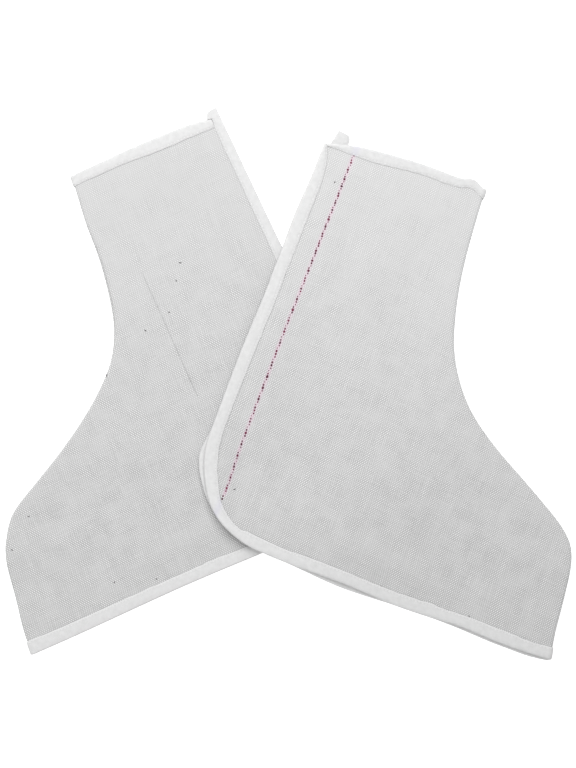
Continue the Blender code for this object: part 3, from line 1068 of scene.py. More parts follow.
class Graph:
    """A material and the nodes that are added to it."""

    def __init__(self, name: str, roughness: float) -> None:
        """Start a material with its principled shader.

        Args:
            name: the material's name.
            roughness: the shader's roughness.
        """
        self.material = bpy.data.materials.new(name)
        self.material.use_nodes = True
        self.nodes = self.material.node_tree.nodes
        self.links = self.material.node_tree.links
        self.shader = self.nodes["Principled BSDF"]
        self.shader.inputs["Roughness"].default_value = roughness

    def feed(self, socket: Socket, source: object) -> None:
        """Give an input socket a link, a number or a colour.

        Args:
            socket: the input.
            source: another node's output, a number or a colour.
        """
        if isinstance(source, Socket):
            self.links.new(source, socket)
        elif isinstance(source, tuple) and len(source) == 3 and socket.type == "RGBA":
            socket.default_value = (*source, 1.0)
        else:
            socket.default_value = source

    def math(self, operation: str, first: object, second: object = 0.0) -> Socket:
        """One arithmetic step.

        Args:
            operation: its name in the Math node.
            first: a number or a socket.
            second: another, where the step takes two.

        Returns:
            The result.
        """
        node = self.nodes.new("ShaderNodeMath")
        node.operation = operation
        for socket, source in zip(node.inputs, (first, second)):
            self.feed(socket, source)
        return node.outputs[0]

    def times(self, first: object, second: object) -> Socket:
        """One number times another."""
        return self.math("MULTIPLY", first, second)

    def crown(self, weave: Socket) -> Socket:
        """The height of the yarns of a weave whose sign says which one is on top: the root of its size."""
        return self.math("POWER", self.math("ABSOLUTE", weave), 0.5)

    def mix(self, share: object, first: object, second: object) -> Socket:
        """A colour between two colours.

        Args:
            share: how much of the second it has, from 0 to 1.
            first: a colour.
            second: another.

        Returns:
            The colour between them.
        """
        node = self.nodes.new("ShaderNodeMix")
        node.data_type = "RGBA"
        for socket, source in zip((node.inputs[0], node.inputs[6], node.inputs[7]), (share, first, second)):
            self.feed(socket, source)
        return node.outputs[2]

    def place_on_cloth(self) -> Socket:
        """The place on the cloth.

        Returns:
            The piece's own UV map, in metres.
        """
        node = self.nodes.new("ShaderNodeUVMap")
        node.uv_map = "weave"
        return node.outputs["UV"]

    def mark(self, name: str) -> Socket:
        """A number that the mesh carries at each point.

        Args:
            name: the mark's name.

        Returns:
            Its value.
        """
        node = self.nodes.new("ShaderNodeAttribute")
        node.attribute_name = name
        return node.outputs["Fac"]

    def split(self, vector: Socket) -> tuple[Socket, Socket]:
        """The first two coordinates of a vector.

        Args:
            vector: the vector.

        Returns:
            Its x and its y.
        """
        node = self.nodes.new("ShaderNodeSeparateXYZ")
        self.feed(node.inputs[0], vector)
        return node.outputs["X"], node.outputs["Y"]

    def scaled(self, vector: Socket, scale: tuple[float, float, float]) -> Socket:
        """The vector with each coordinate stretched by its own number.

        Args:
            vector: the vector.
            scale: the number for each coordinate.

        Returns:
            The stretched vector.
        """
        node = self.nodes.new("ShaderNodeMapping")
        node.inputs["Scale"].default_value = scale
        self.feed(node.inputs["Vector"], vector)
        return node.outputs[0]

    def noise(self, vector: Socket, scale: float, detail: float = 2.0) -> Socket:
        """Soft noise from 0 to 1, about a half in the middle.

        Args:
            vector: where it is read.
            scale: how many patches there are in a unit of the vector.
            detail: how many finer octaves are added.

        Returns:
            The noise's value.
        """
        node = self.nodes.new("ShaderNodeTexNoise")
        self.feed(node.inputs["Vector"], vector)
        node.inputs["Scale"].default_value = scale
        node.inputs["Detail"].default_value = detail
        return node.outputs["Fac"]

    def span(
        self, value: object, low: float, high: float, to_low: float = 0.0, to_high: float = 1.0
    ) -> Socket:
        """The value carried from one range to another, held at the ends.

        Args:
            value: the value.
            low: where the first range starts.
            high: where it ends.
            to_low: where the second range starts.
            to_high: where it ends.

        Returns:
            The value in the second range.
        """
        node = self.nodes.new("ShaderNodeMapRange")
        for socket, source in zip(node.inputs, (value, low, high, to_low, to_high)):
            self.feed(socket, source)
        return node.outputs[0]

    def about_one(self, noise: Socket, contrast: float) -> Socket:
        """A factor that follows soft noise, by the contrast to either side of 1."""
        return self.span(noise, *NOISE_MIDDLE, 1 - contrast, 1 + contrast)

    def brighten(self, colour: object, amount: object) -> Socket:
        """The colour multiplied by a number.

        Args:
            colour: the colour.
            amount: the number.

        Returns:
            The brighter or darker colour.
        """
        node = self.nodes.new("ShaderNodeVectorMath")
        node.operation = "SCALE"
        self.feed(node.inputs[0], colour)
        self.feed(node.inputs["Scale"], amount)
        return node.outputs[0]

    def finish(self, colour: object, height: object, relief: float) -> Material:
        """Give the shader its colour and its bump.

        Args:
            colour: the base colour.
            height: the relief's height, from 0 to 1.
            relief: how deep the relief is, in metres.

        Returns:
            The finished material.
        """
        self.feed(self.shader.inputs["Base Color"], colour)
        bump = self.nodes.new("ShaderNodeBump")
        bump.inputs["Strength"].default_value = 1.0
        bump.inputs["Distance"].default_value = relief
        self.feed(bump.inputs["Height"], height)
        self.links.new(bump.outputs[0], self.shader.inputs["Normal"])
        return self.material


@dataclass(frozen=True)
class CanvasFinish:
    """Heavy off-white plain-weave canvas: crossing yarns, pits between them painted darker as shade, and
    yarns of uneven tone.
    """

    name: str
    yarn_tint: Colour
    yarn_share: float
    yarn_core: float
    yarn_reach: float
    # Each cover's own tone, together with painted light: darker at the hem and lighter towards the top edge
    hem_tone_with_painted_light: float
    top_tone_with_painted_light: float
    warp_colour: Colour = (0.875, 0.875, 0.875)
    weft_colour: Colour = (0.58, 0.58, 0.58)
    # Painted shade: the colour of the hollows between the yarns
    pit_shade_colour: Colour = (0.245, 0.245, 0.245)
    mean_colour: Colour = (0.522, 0.522, 0.522)
    crossing_blend: float = 0.2
    patch_range: tuple[float, float] = (0.3, 0.7)
    # Painted light: the weave shows less towards the top edge, where the light falls flatter
    painted_light_fade_from: float = 0.08
    painted_light_fade_to: float = 0.34
    painted_light_fade_least: float = 0.48
    calm_patches: float = 60.0
    calm_patch_contrast: float = 0.35
    cloth_height: float = 0.35
    warp_pitch: float = 0.97 * MM
    weft_pitch: float = 1.33 * MM
    wander: float = 0.30 * MM
    wander_patches: float = 40.0
    yarn_run: float = 22.0
    yarn_contrast: float = 0.125
    blotch_patches: float = 38.0
    blotch_contrast: float = 0.008
    yarn_patches: float = 120.0
    # Painted shade beside the tapes' rims and along the front fold, and its colour
    tape_edge_painted_shade: float = 0.06
    fold_painted_shade: float = 0.03
    painted_shade_colour: Colour = (0.30, 0.30, 0.30)
    relief: float = 0.22 * MM
    roughness: float = 0.95

    def build(self) -> Material:
        """The canvas's nodes.

        The weave is sin(across) * sin(along) of the place in yarns. Its sign says which yarn is on top.

        Returns:
            The material.
        """
        graph = Graph(self.name, self.roughness)
        cloth = graph.place_on_cloth()
        across, along = graph.split(cloth)
        drift = graph.span(graph.noise(cloth, self.wander_patches), 0.0, 1.0, -self.wander, self.wander)
        warp_turn = graph.times(graph.math("ADD", across, drift), math.pi / self.warp_pitch)
        weft_turn = graph.times(graph.math("SUBTRACT", along, drift), math.pi / self.weft_pitch)
        weave = graph.times(graph.math("SINE", warp_turn), graph.math("SINE", weft_turn))
        crown = graph.crown(weave)
        warp_on_top = graph.span(weave, -self.crossing_blend, self.crossing_blend)
        weft_on_top = graph.math("SUBTRACT", 1.0, warp_on_top)
        warps, wefts = 1 / self.warp_pitch, 1 / self.weft_pitch
        warp_tone = graph.noise(graph.scaled(cloth, (warps, wefts / self.yarn_run, 1.0)), 1.0)
        weft_tone = graph.noise(graph.scaled(cloth, (warps / self.yarn_run, wefts, 1.0)), 1.0)
        warp_part, weft_part = graph.times(warp_tone, warp_on_top), graph.times(weft_tone, weft_on_top)
        yarn_tone = graph.math("ADD", warp_part, weft_part)
        colour = graph.mix(warp_on_top, self.weft_colour, self.warp_colour)
        colour = graph.brighten(colour, graph.about_one(yarn_tone, self.yarn_contrast))
        # Painted shade: the pits between the yarns are darkened in the colour.
        colour = graph.mix(crown, self.pit_shade_colour, colour)
        clear = self.clearness(graph, cloth, along)
        colour = graph.mix(clear, self.mean_colour, colour)
        # Painted light: the canvas is darker at the hem and lighter towards the top edge, with each cover's
        # own tone.
        tone_with_painted_light = graph.span(along, 0.0, self.cloth_height, self.hem_tone_with_painted_light, self.top_tone_with_painted_light)
        colour = graph.brighten(colour, tone_with_painted_light)
        blotches = graph.noise(cloth, self.blotch_patches)
        colour = graph.brighten(colour, graph.about_one(blotches, self.blotch_contrast))
        colour = graph.mix(self.tint_share(graph, cloth), colour, self.yarn_tint)
        # Painted shade: darker lines on the canvas beside the tapes' rims and along the front fold.
        for mark, shade in (("painted_shade_beside_tape", self.tape_edge_painted_shade), ("fold", self.fold_painted_shade)):
            colour = graph.mix(graph.times(graph.mark(mark), shade), colour, self.painted_shade_colour)
        return graph.finish(colour, graph.times(crown, clear), self.relief)

    def clearness(self, graph: Graph, cloth: Socket, along: Socket) -> Socket:
        """How clearly the weave shows: less towards the top edge, which paints in the flatter light that
        falls there, and unevenly in patches.

        Args:
            graph: the material's nodes.
            cloth: the place on the cloth.
            along: how far along the grain that is.

        Returns:
            The share of the weave that shows.
        """
        # Painted light: the weave fades towards the top edge.
        painted_light_fade = graph.span(along, self.painted_light_fade_from, self.painted_light_fade_to, 1.0, self.painted_light_fade_least)
        low, high = 1 - self.calm_patch_contrast, 1 + self.calm_patch_contrast
        patches = graph.span(graph.noise(cloth, self.calm_patches), *self.patch_range, low, high)
        return graph.times(painted_light_fade, patches)

    def tint_share(self, graph: Graph, cloth: Socket) -> Socket:
        """How much of the coloured yarn's tint the cloth has: uneven, and none past the yarn's reach.

        Args:
            graph: the material's nodes.
            cloth: the place on the cloth.

        Returns:
            The share of the tint.
        """
        away = graph.math("ABSOLUTE", graph.mark("from_yarn"))
        near = graph.times(graph.span(away, self.yarn_core, self.yarn_reach, 1.0, 0.0), graph.mark("yarn"))
        patches = graph.noise(cloth, self.yarn_patches)
        return graph.times(near, graph.span(patches, *self.patch_range, self.yarn_share / 2, self.yarn_share))


@dataclass(frozen=True)
class TapeFinish:
    """White fine-woven tape: close ribs with painted shade between them, a slightly mottled white, a groove
    where it is stitched with painted shade along it, and a painted highlight along its rim.
    """

    name: str = "white_tape"
    colour: Colour = (0.66, 0.66, 0.66)
    # Painted shade of the rib pits and the stitched groove, and painted highlight of the rim
    groove_shade_colour: Colour = (0.53, 0.53, 0.53)
    rim_highlight_colour: Colour = (0.745, 0.745, 0.745)
    yarn_tint: Colour = (0.50, 0.48, 0.62)
    rib_pitch: float = 0.55 * MM
    mottle_patches: float = 230.0
    mottle_detail: float = 3.0
    mottle_contrast: float = 0.055
    groove_shade_share: float = 0.5
    rim_highlight_share: float = 0.6
    relief: float = 0.08 * MM
    roughness: float = 0.9

    def build(self) -> Material:
        """The tape's nodes: sin(across) * sin(along) ribs shaded in their pits, mottling, the groove's
        painted shade, the rim's painted highlight and the yarn below.

        Returns:
            The material.
        """
        graph = Graph(self.name, self.roughness)
        cloth = graph.place_on_cloth()
        turns = math.pi / self.rib_pitch
        along_wave, across_wave = (graph.math("SINE", graph.times(way, turns)) for way in graph.split(cloth))
        crown = graph.crown(graph.times(along_wave, across_wave))
        mottle = graph.noise(cloth, self.mottle_patches, self.mottle_detail)
        # Painted shade: the pits between the ribs are darkened.
        colour = graph.mix(crown, self.groove_shade_colour, self.colour)
        colour = graph.brighten(colour, graph.about_one(mottle, self.mottle_contrast))
        # Painted shade: the tape is darker along the stitched groove.
        colour = graph.mix(graph.times(graph.mark("groove"), self.groove_shade_share), colour, self.groove_shade_colour)
        # Painted highlight: the tape is lighter along its rounded rim.
        colour = graph.mix(graph.times(graph.mark("rim"), self.rim_highlight_share), colour, self.rim_highlight_colour)
        colour = graph.mix(graph.mark("yarn_below"), colour, self.yarn_tint)
        return graph.finish(colour, crown, self.relief)


@dataclass(frozen=True)
class ThreadFinish:
    """A twisted thread whose colour runs between two tones from stitch to stitch."""

    name: str
    first_colour: Colour
    second_colour: Colour
    ply_pitch: float = 0.5 * MM
    ply_painted_shade: tuple[float, float] = (0.8, 1.05)
    relief: float = 0.06 * MM
    roughness: float = 0.75

    def build(self) -> Material:
        """The thread's nodes: the tone that each stitch carries, and slanted plies with painted shade between
        them.

        Returns:
            The material.
        """
        graph = Graph(self.name, self.roughness)
        along, across = graph.split(graph.place_on_cloth())
        turn = graph.times(graph.math("ADD", along, across), math.pi / self.ply_pitch)
        ply = graph.math("ABSOLUTE", graph.math("SINE", turn))
        colour = graph.mix(graph.mark("tone"), self.first_colour, self.second_colour)
        # Painted shade: darker in the grooves between the plies.
        colour = graph.brighten(colour, graph.span(ply, 0.0, 1.0, *self.ply_painted_shade))
        return graph.finish(colour, ply, self.relief)


@dataclass(frozen=True)
class FloorFinish:
    """A matt white floor of faintly uneven tone, lit a little from within as a light table is."""

    name: str = "white_floor"
    colour: Colour = (0.93, 0.93, 0.93)
    glow: float = 0.5
    patches: float = 3.0
    contrast: float = 0.005

    def build(self) -> Material:
        """The floor's nodes.

        Returns:
            The material.
        """
        graph = Graph(self.name, 1.0)
        place = graph.nodes.new("ShaderNodeTexCoord").outputs["Object"]
        tone = graph.span(graph.noise(place, self.patches), 0.0, 1.0, 1 - self.contrast, 1 + self.contrast)
        graph.feed(graph.shader.inputs["Base Color"], graph.brighten(self.colour, tone))
        graph.shader.inputs["Specular IOR Level"].default_value = 0.0
        graph.shader.inputs["Emission Color"].default_value = (1.0, 1.0, 1.0, 1.0)
        graph.shader.inputs["Emission Strength"].default_value = self.glow
        return graph.material


@dataclass(frozen=True)
class Finishes:
    """Every material of the pair."""

    left_canvas: Material
    right_canvas: Material
    tape: Material
    sewing_thread: Material
    dyed_thread: Material
    grey_yarn: Material
    fleck: Material


def spindle(length: float, width: float, height: float, rings: int = 3, sides: int = 6) -> tuple[Array, list]:
    """A short raised stitch: rings of points between two poles, widest in the middle.

    A ring at share t of the length has the size sin(pi * t) ** 0.5.

    Args:
        length: its length along the thread.
        width: its full width.
        height: its full height.
        rings: how many rings it has between its poles.
        sides: how many points a ring has.

    Returns:
        The points as (along, across, up), and the faces.
    """
    share = np.arange(1, rings + 1) / (rings + 1)
    size = np.sqrt(np.sin(math.pi * share))[:, None]
    angle = np.arange(sides) * 2 * math.pi / sides
    along = np.repeat(length * (share - 0.5)[:, None], sides, axis=1)
    ring = np.stack([along, size * width / 2 * np.cos(angle), size * height / 2 * np.sin(angle)], axis=-1)
    points = np.vstack([ring.reshape(-1, 3), [(-length / 2, 0, 0), (length / 2, 0, 0)]])
    first = np.arange(sides)
    following = np.roll(first, -1)
    faces = []
    for ring_start in range(0, (rings - 1) * sides, sides):
        quads = np.stack([first, following, following + sides, first + sides], axis=-1) + ring_start
        faces.extend(quads.tolist())
    last = (rings - 1) * sides
    faces.extend([[rings * sides, int(b), int(a)] for a, b in zip(first, following)])
    faces.extend([[rings * sides + 1, int(a) + last, int(b) + last] for a, b in zip(first, following)])
    return points, faces


def repeated_faces(faces: list, points_in_one: int, count: int) -> list:
    """The faces of one stitch, numbered on for each further stitch."""
    starts = range(0, points_in_one * count, points_in_one)
    return [[corner + start for corner in face] for start in starts for face in faces]


@dataclass
class CanvasSide:
    """One canvas side: flat cloth, the rounded fold along the front, and the allowance behind it."""

    cut: CoverCut
    layer: Layer
    rests_on: Optional[CoverCut]
    fineness: int
    fold_steps: int = 8
    allowance: float = 9.0
    allowance_steps: int = 4
    allowance_rise: float = 0.95
    allowance_clear: float = 14.0
    allowance_grow: float = 10.0
    shortest_allowance: float = 0.4
    end_bevel: float = 0.2
    # How far the painted shade beside the tapes and along the front fold reaches
    painted_shade_reach: float = 2.2
    fold_painted_shade_reach: float = 4.0
    yarn_fade: float = 6.0

    @property
    def is_upper(self) -> bool:
        """Whether this is the side on top."""
        return self.layer is Layer.UPPER

    @property
    def name(self) -> str:
        """The piece's name."""
        return f"{self.cut.shape.name}_{self.layer.value}_canvas"

    def allowance_width(self, count: int) -> Array:
        """The seam allowance's width: full along the front, nearly none under the tapes at its ends.

        Args:
            count: how many rows the cloth has; not used.

        Returns:
            The width at each row.
        """
        distance = self.cut.silhouette.stations(FRONT_RUNS, CUT_INSET, CUT_INSET, self.fineness)
        to_end = np.minimum(distance, self.cut.silhouette.length - distance)
        share = smoothstep((to_end - self.allowance_clear) / self.allowance_grow)
        return self.shortest_allowance + (self.allowance - self.shortest_allowance) * share

    def shell(self, is_outer: bool) -> tuple[Array, Array]:
        """One face of the cloth as a grid, and each point's place on the unrolled cloth.

        Across the fold a point is the fold's axis + outward * radius * sin(angle), at a height of radius *
        cos(angle) from the axis, up to the angle at which it meets the seam. The allowance runs back in from
        there.

        Args:
            is_outer: whether it is the face outside the cover or the one inside.

        Returns:
            The points in the cutting frame with their heights, and the places on the cloth.
        """
        cut = self.cut
        flat = cut.grid(self.fineness)
        fold, outward = cut.fold_line(self.fineness)
        floor = cut.upper_height(flat) if self.is_upper else cut.under_height(flat)
        height = floor + CANVAS_WALL if is_outer == self.is_upper else floor
        radius = FOLD_RADIUS if is_outer else FOLD_RADIUS - CANVAS_WALL
        end_rise = SEAM_GAP / 2 if is_outer else self.allowance_rise
        end_angle = math.acos(end_rise / radius)
        axis = cut.under_height(fold)[:, None] + FOLD_RADIUS
        angle = end_angle * np.arange(1, self.fold_steps + 1) / self.fold_steps
        width = self.allowance_width(len(fold)) - (0 if is_outer else self.end_bevel)
        back_in = width[:, None] * np.arange(1, self.allowance_steps + 1) / self.allowance_steps
        turned = np.repeat((radius * np.sin(angle))[None], len(fold), axis=0)
        reach = np.hstack([turned, radius * math.sin(end_angle) - back_in])
        raised = np.repeat((radius * np.cos(angle))[None], len(fold), axis=0)
        rise = np.hstack([raised, np.full_like(back_in, end_rise)])
        rolled = np.repeat((FOLD_MIDDLE * angle)[None], len(fold), axis=0)
        unrolled = np.hstack([rolled, FOLD_MIDDLE * end_angle + back_in])
        level = axis + rise if self.is_upper else axis - rise
        folded = np.dstack([fold[:, None] + outward[:, None] * reach[..., None], level])
        cloth = np.concatenate([flat, fold[:, None] + outward[:, None] * unrolled[..., None]], axis=1)
        return np.concatenate([np.dstack([flat, height]), folded], axis=1), cut.shape.grain(cloth)

    def shades(self, grain: Array) -> dict[str, Array]:
        """What the finish reads at each point.

        Args:
            grain: each point's place across and along the grain.

        Returns:
            How near the point lies to a tape's rim and to the front, from 0 to 1, for the painted shade
            there, how far across the grain it lies from the coloured yarn, in metres, and how far the yarn is
            there at all, from 0 to 1.
        """
        flat = self.cut.grid(self.fineness)
        # Painted shade beside the tapes' rims, fading over a couple of millimetres.
        beside = 1 - self.cut.to_rim(flat, self.layer) / self.painted_shade_reach
        # Painted shade along the front fold, fading over a few millimetres.
        fold = 1 - self.cut.to_front(flat) / self.fold_painted_shade_reach
        extra = self.fold_steps + self.allowance_steps
        beside = np.hstack([beside, np.repeat(beside[:, -1:], extra, axis=1)])
        fold = np.hstack([fold, np.ones((len(fold), extra))])
        shape = self.cut.shape
        started, ended = (
            smoothstep((grain[..., 1] - row.along) / self.yarn_fade)
            for row in (shape.yarn[0], shape.yarn[-1])
        )
        return {
            "painted_shade_beside_tape": np.clip(beside, 0, 1),
            "fold": np.clip(fold, 0, 1),
            "from_yarn": shape.from_yarn(grain) * MM,
            "yarn": (started - ended) * self.is_upper,
        }

    def build(self, material: Material) -> bpy.types.Object:
        """Make the side and let it stand for its solid.

        Args:
            material: the canvas's finish.

        Returns:
            The piece.
        """
        (outer, cloth), (inner, _) = self.shell(True), self.shell(False)
        under_share = np.full(outer.shape[:2], 0.0 if self.is_upper else 1.0)
        shell = Shell(outer, inner, under_share, cloth, self.shades(cloth))
        node = f"{self.cut.shape.name}_{self.layer.value}_side"
        return add_cloth(self.name, node, self.cut, shell, self.rests_on, material)

    def top_points(self, xy: Array, lift: Array) -> Array:
        """Points on the side's upper face, lifted off it."""
        z = self.cut.upper_height(xy) + CANVAS_WALL + lift
        return lay(self.cut, np.concatenate([xy, z[..., None]], axis=-1), np.zeros(z.shape), self.rests_on)


@dataclass(frozen=True)
class TapeStations:
    """A folded tape's path: at each distance its edge point, its direction and its section's sizes."""

    distance: Array
    point: Array
    across: Array
    outside_reach: Array
    inside_reach: Array
    gap_half: Array
    slant: Array
    angle: Array
    outward: Array
    along: Array

    def at(self, distance: Array) -> "TapeStations":
        """The path read at other distances, between its stations along straight lines.

        Args:
            distance: the distances.

        Returns:
            The path at them.
        """

        def read(values: Array) -> Array:
            """A column of numbers or of points at the distances."""
            columns = [np.interp(distance, self.distance, column) for column in np.atleast_2d(values.T)]
            return columns[0] if values.ndim == 1 else np.stack(columns, axis=-1)

        return self.changed(read)

    def as_columns(self) -> "TapeStations":
        """The path with one more axis, along which a section's points can lie."""
        return self.changed(lambda values: values[:, None])

    def changed(self, change: Callable[[Array], Array]) -> "TapeStations":
        """The path with each of its columns changed, and its two directions kept.

        Args:
            change: what is done to a column.

        Returns:
            The changed path.
        """
        names = ("distance", "point", "across", "outside_reach", "inside_reach", "gap_half", "slant", "angle")
        columns = {name: change(getattr(self, name)) for name in names}
        return TapeStations(**columns, outward=self.outward, along=self.along)

    def section(self, depth: Array, offset: Array) -> Array:
        """Points of the tape's section, in the cutting frame.

        The section's middle line lies on the cloth's middle, a fold-middle radius from the front fold's axis,
        and the whole section turns about that axis: out by sin(angle) and up by cos(angle) of the distance
        from it.

        Args:
            depth: how far from the bound edge into the cloth.
            offset: how far off the cloth's middle, outside the cover above 0 and inside it below.

        Returns:
            The points with their heights.
        """
        turned = FOLD_MIDDLE + offset
        slant = self.slant * depth / TAPE_REACH
        xy = (
            self.point
            + depth[..., None] * self.across
            + (turned * np.sin(self.angle))[..., None] * self.outward
            + slant[..., None] * self.along
        )
        z = FOLD_AXIS_HEIGHT + turned * np.cos(self.angle)
        return np.concatenate([xy, z[..., None]], axis=-1)


class TapeLeg(NamedTuple):
    """One leg of a tape's section, from its rim to the fold, and what the finish reads there."""

    depth: Array
    offset: Array
    to_fold: Array
    groove: Array
    rim: Array


def bound_edge_run(
    edge: Edge, distances: Array, start_across: Optional[Array], end_across: Optional[Array]
) -> tuple[Array, Array]:
    """Points along one bound edge and the tape's direction across it.

    The tape lies square to the edge, and its direction turns to a set one over the last stretch to an end.

    Args:
        edge: the bound edge.
        distances: where along it.
        start_across: the set direction at the first distance, or None.
        end_across: the set direction at the last distance, or None.

    Returns:
        The points and the directions.
    """
    point = edge.at(distances)
    across = edge.inward(distances)
    from_start, to_end = distances - distances[0], distances[-1] - distances
    for direction, away in ((start_across, from_start), (end_across, to_end)):
        if direction is not None:
            share = relax(away, 0.0, TAPE_TURN_BLEND)[:, None]
            across = unit(across * (1 - share) + direction * share)
    return point, across


@dataclass
class FoldedTape:
    """A tape folded over an edge of both sides, round the front fold, and the stitches that hold it."""

    cut: CoverCut
    binding: Binding
    rests_on: Optional[CoverCut]
    spacing: float = 1.5
    turn_steps: int = 10
    tab_steps: int = 20
    leg_shares: tuple[float, ...] = (0.0, 0.03, 0.07, 0.12, 0.17, 0.22, 0.30, 0.45, 0.70, 1.0)
    fold_steps: int = 8
    rim_round: float = 1.8
    rim_round_share: float = 0.8
    rim_drop: float = 0.7
    rim_highlight_reach: float = 0.9
    yarn_blur: float = 3.2
    tab_flare: float = 0.05
    stitch_inset: float = 1.7
    stitch_dip: float = 0.24
    groove_width: float = 0.8
    width_play: float = 0.22
    width_wave: float = 14.0
    surface_play: float = 0.07
    surface_wave: float = 7.0
    stitch_pitch: float = 3.0
    stitch_length: float = 2.2
    stitch_width: float = 0.55
    stitch_height: float = 0.34
    stitch_stray_along: float = 0.15
    stitch_stray_across: float = 0.12

    @property
    def name(self) -> str:
        """The start of the names of the tape's pieces."""
        return f"{self.cut.shape.name}_{self.binding.value}"

    def even(self, length: float) -> Array:
        """Evenly spaced distances over a length, both ends among them."""
        return np.linspace(0, length, max(2, round(length / self.spacing) + 1))

    def edge_half(self, layer: Layer) -> dict[str, Array]:
        """The edge binding on one side: from its cut end down the back, round the heel and on to the toe.

        Where the outside leg is folded wider than half the tape, the inside one is as much narrower. Past the
        top edge the cut end stands as a tab, which may lean forward. Its width falls from foot to end with
        the square root of what is left of its height.

        Args:
            layer: the side.

        Returns:
            The stations' values by name.
        """
        cut, shape = self.cut, self.cut.shape
        is_upper = layer is Layer.UPPER
        tab = shape.upper_tab if is_upper else shape.under_tab
        end_reach = shape.upper_end_reach if is_upper else TAPE_REACH
        up = cut.back.tangent(cut.back.length)
        back_at, hem_at = self.even(cut.back.length), self.even(cut.hem.length)
        back_point, back_across = bound_edge_run(cut.back, back_at, None, cut.top.tangent(0.0))
        hem_point, hem_across = bound_edge_run(cut.hem, hem_at, None, cut.toe_across)
        tab_share = np.linspace(1, 0, self.tab_steps + 1)[:-1] if tab else np.empty(0)
        tab_run = up * tab + back_across[-1] * shape.tab_lean
        tab_point = back_point[-1] + tab_run * tab_share[:, None]
        tab_across = np.repeat(back_across[-1:], len(tab_share), axis=0)
        point = np.vstack([tab_point, back_point[::-1], hem_point[1:]])
        across = np.vstack([tab_across, back_across[::-1], hem_across[1:]])
        on_hem = np.full(len(hem_at) - 1, cut.back.length)
        from_top = np.concatenate([0 * tab_share, cut.back.length - back_at[::-1], on_hem])
        in_tab = np.concatenate([tab_share, np.zeros(len(point) - len(tab_share))])
        if is_upper:
            back_width, hem_width = cut.showing(cut.back, back_at[::-1]), cut.showing(cut.hem, hem_at[1:])
            outside = np.concatenate([0 * tab_share + back_width[0], back_width, hem_width])
        else:
            outside = np.full(len(point), TAPE_REACH)
        tapered = TAPE_REACH + (end_reach - TAPE_REACH) * relax(from_top, TAPER_START, TAPER_END)
        inside = np.minimum(tapered, 2 * TAPE_REACH - outside)
        tab_reach = shape.tab_end_reach + (shape.tab_base_reach - shape.tab_end_reach) * np.sqrt(1 - in_tab)
        flare = smoothstep(in_tab / self.tab_flare)
        return {
            "point": point,
            "across": across,
            "outside_reach": outside + (tab_reach - outside) * flare,
            "inside_reach": inside + (tab_reach - inside) * flare,
            "gap_half": TAPE_GAP_HALF + (TAB_GAP_HALF - TAPE_GAP_HALF) * in_tab,
            "slant": -shape.tab_slant * in_tab,
        }

    def top_half(self, layer: Layer) -> dict[str, Array]:
        """The top binding on one side: from beside the edge binding forward to the front fold.

        Args:
            layer: the side.

        Returns:
            The stations' values by name.
        """
        cut = self.cut
        is_upper = layer is Layer.UPPER
        beside = float(cut.showing(cut.back, np.array(cut.back.length))) if is_upper else TAPE_REACH
        start = beside + TAPE_BUTT_GAP
        distances = start + self.even(cut.top.length - start)
        down = -cut.back.tangent(cut.back.length)
        point, across = bound_edge_run(cut.top, distances, down, cut.shin_across)
        outside = cut.showing(cut.top, distances) if is_upper else np.full(len(distances), TAPE_REACH)
        return {
            "point": point,
            "across": across,
            "outside_reach": outside,
            "inside_reach": np.minimum(TAPE_REACH, 2 * TAPE_REACH - outside),
            "gap_half": np.full(len(distances), TAPE_GAP_HALF),
            "slant": np.zeros(len(distances)),
        }

    def stations(self) -> TapeStations:
        """The whole path: the upper half, half a turn round the front fold, and the under half back.

        Returns:
            The path.
        """
        cut = self.cut
        if self.binding is Binding.EDGE:
            upper, under = self.edge_half(Layer.UPPER), self.edge_half(Layer.UNDER)
            outward = np.array([cut.toe_across[1], -cut.toe_across[0]])
            along = cut.back.tangent(cut.back.length)
        else:
            upper, under = self.top_half(Layer.UPPER), self.top_half(Layer.UNDER)
            outward = np.array([-cut.shin_across[1], cut.shin_across[0]])
            along = cut.top.tangent(0.0)
        share = np.linspace(0, 1, self.turn_steps + 1)[1:-1]
        values = {}
        for key, column in upper.items():
            last, other_last = column[-1], under[key][-1]
            turning = last + np.multiply.outer(share, other_last - last)
            values[key] = np.concatenate([column, turning, under[key][::-1]])
        angle = np.concatenate([0 * upper["slant"], math.pi * share, 0 * under["slant"] + math.pi])
        step = np.linalg.norm(np.diff(values["point"], axis=0), axis=1) + FOLD_MIDDLE * np.diff(angle)
        distance = np.concatenate([[0.0], np.cumsum(step)])
        return TapeStations(distance=distance, angle=angle, outward=outward, along=along, **values)

    def stitch_line(self, leg: Array) -> Array:
        """How far from the rim the stitches lie on a leg of this length."""
        return self.stitch_inset * np.minimum(1.0, leg / (TAPE_REACH - CUT_INSET))

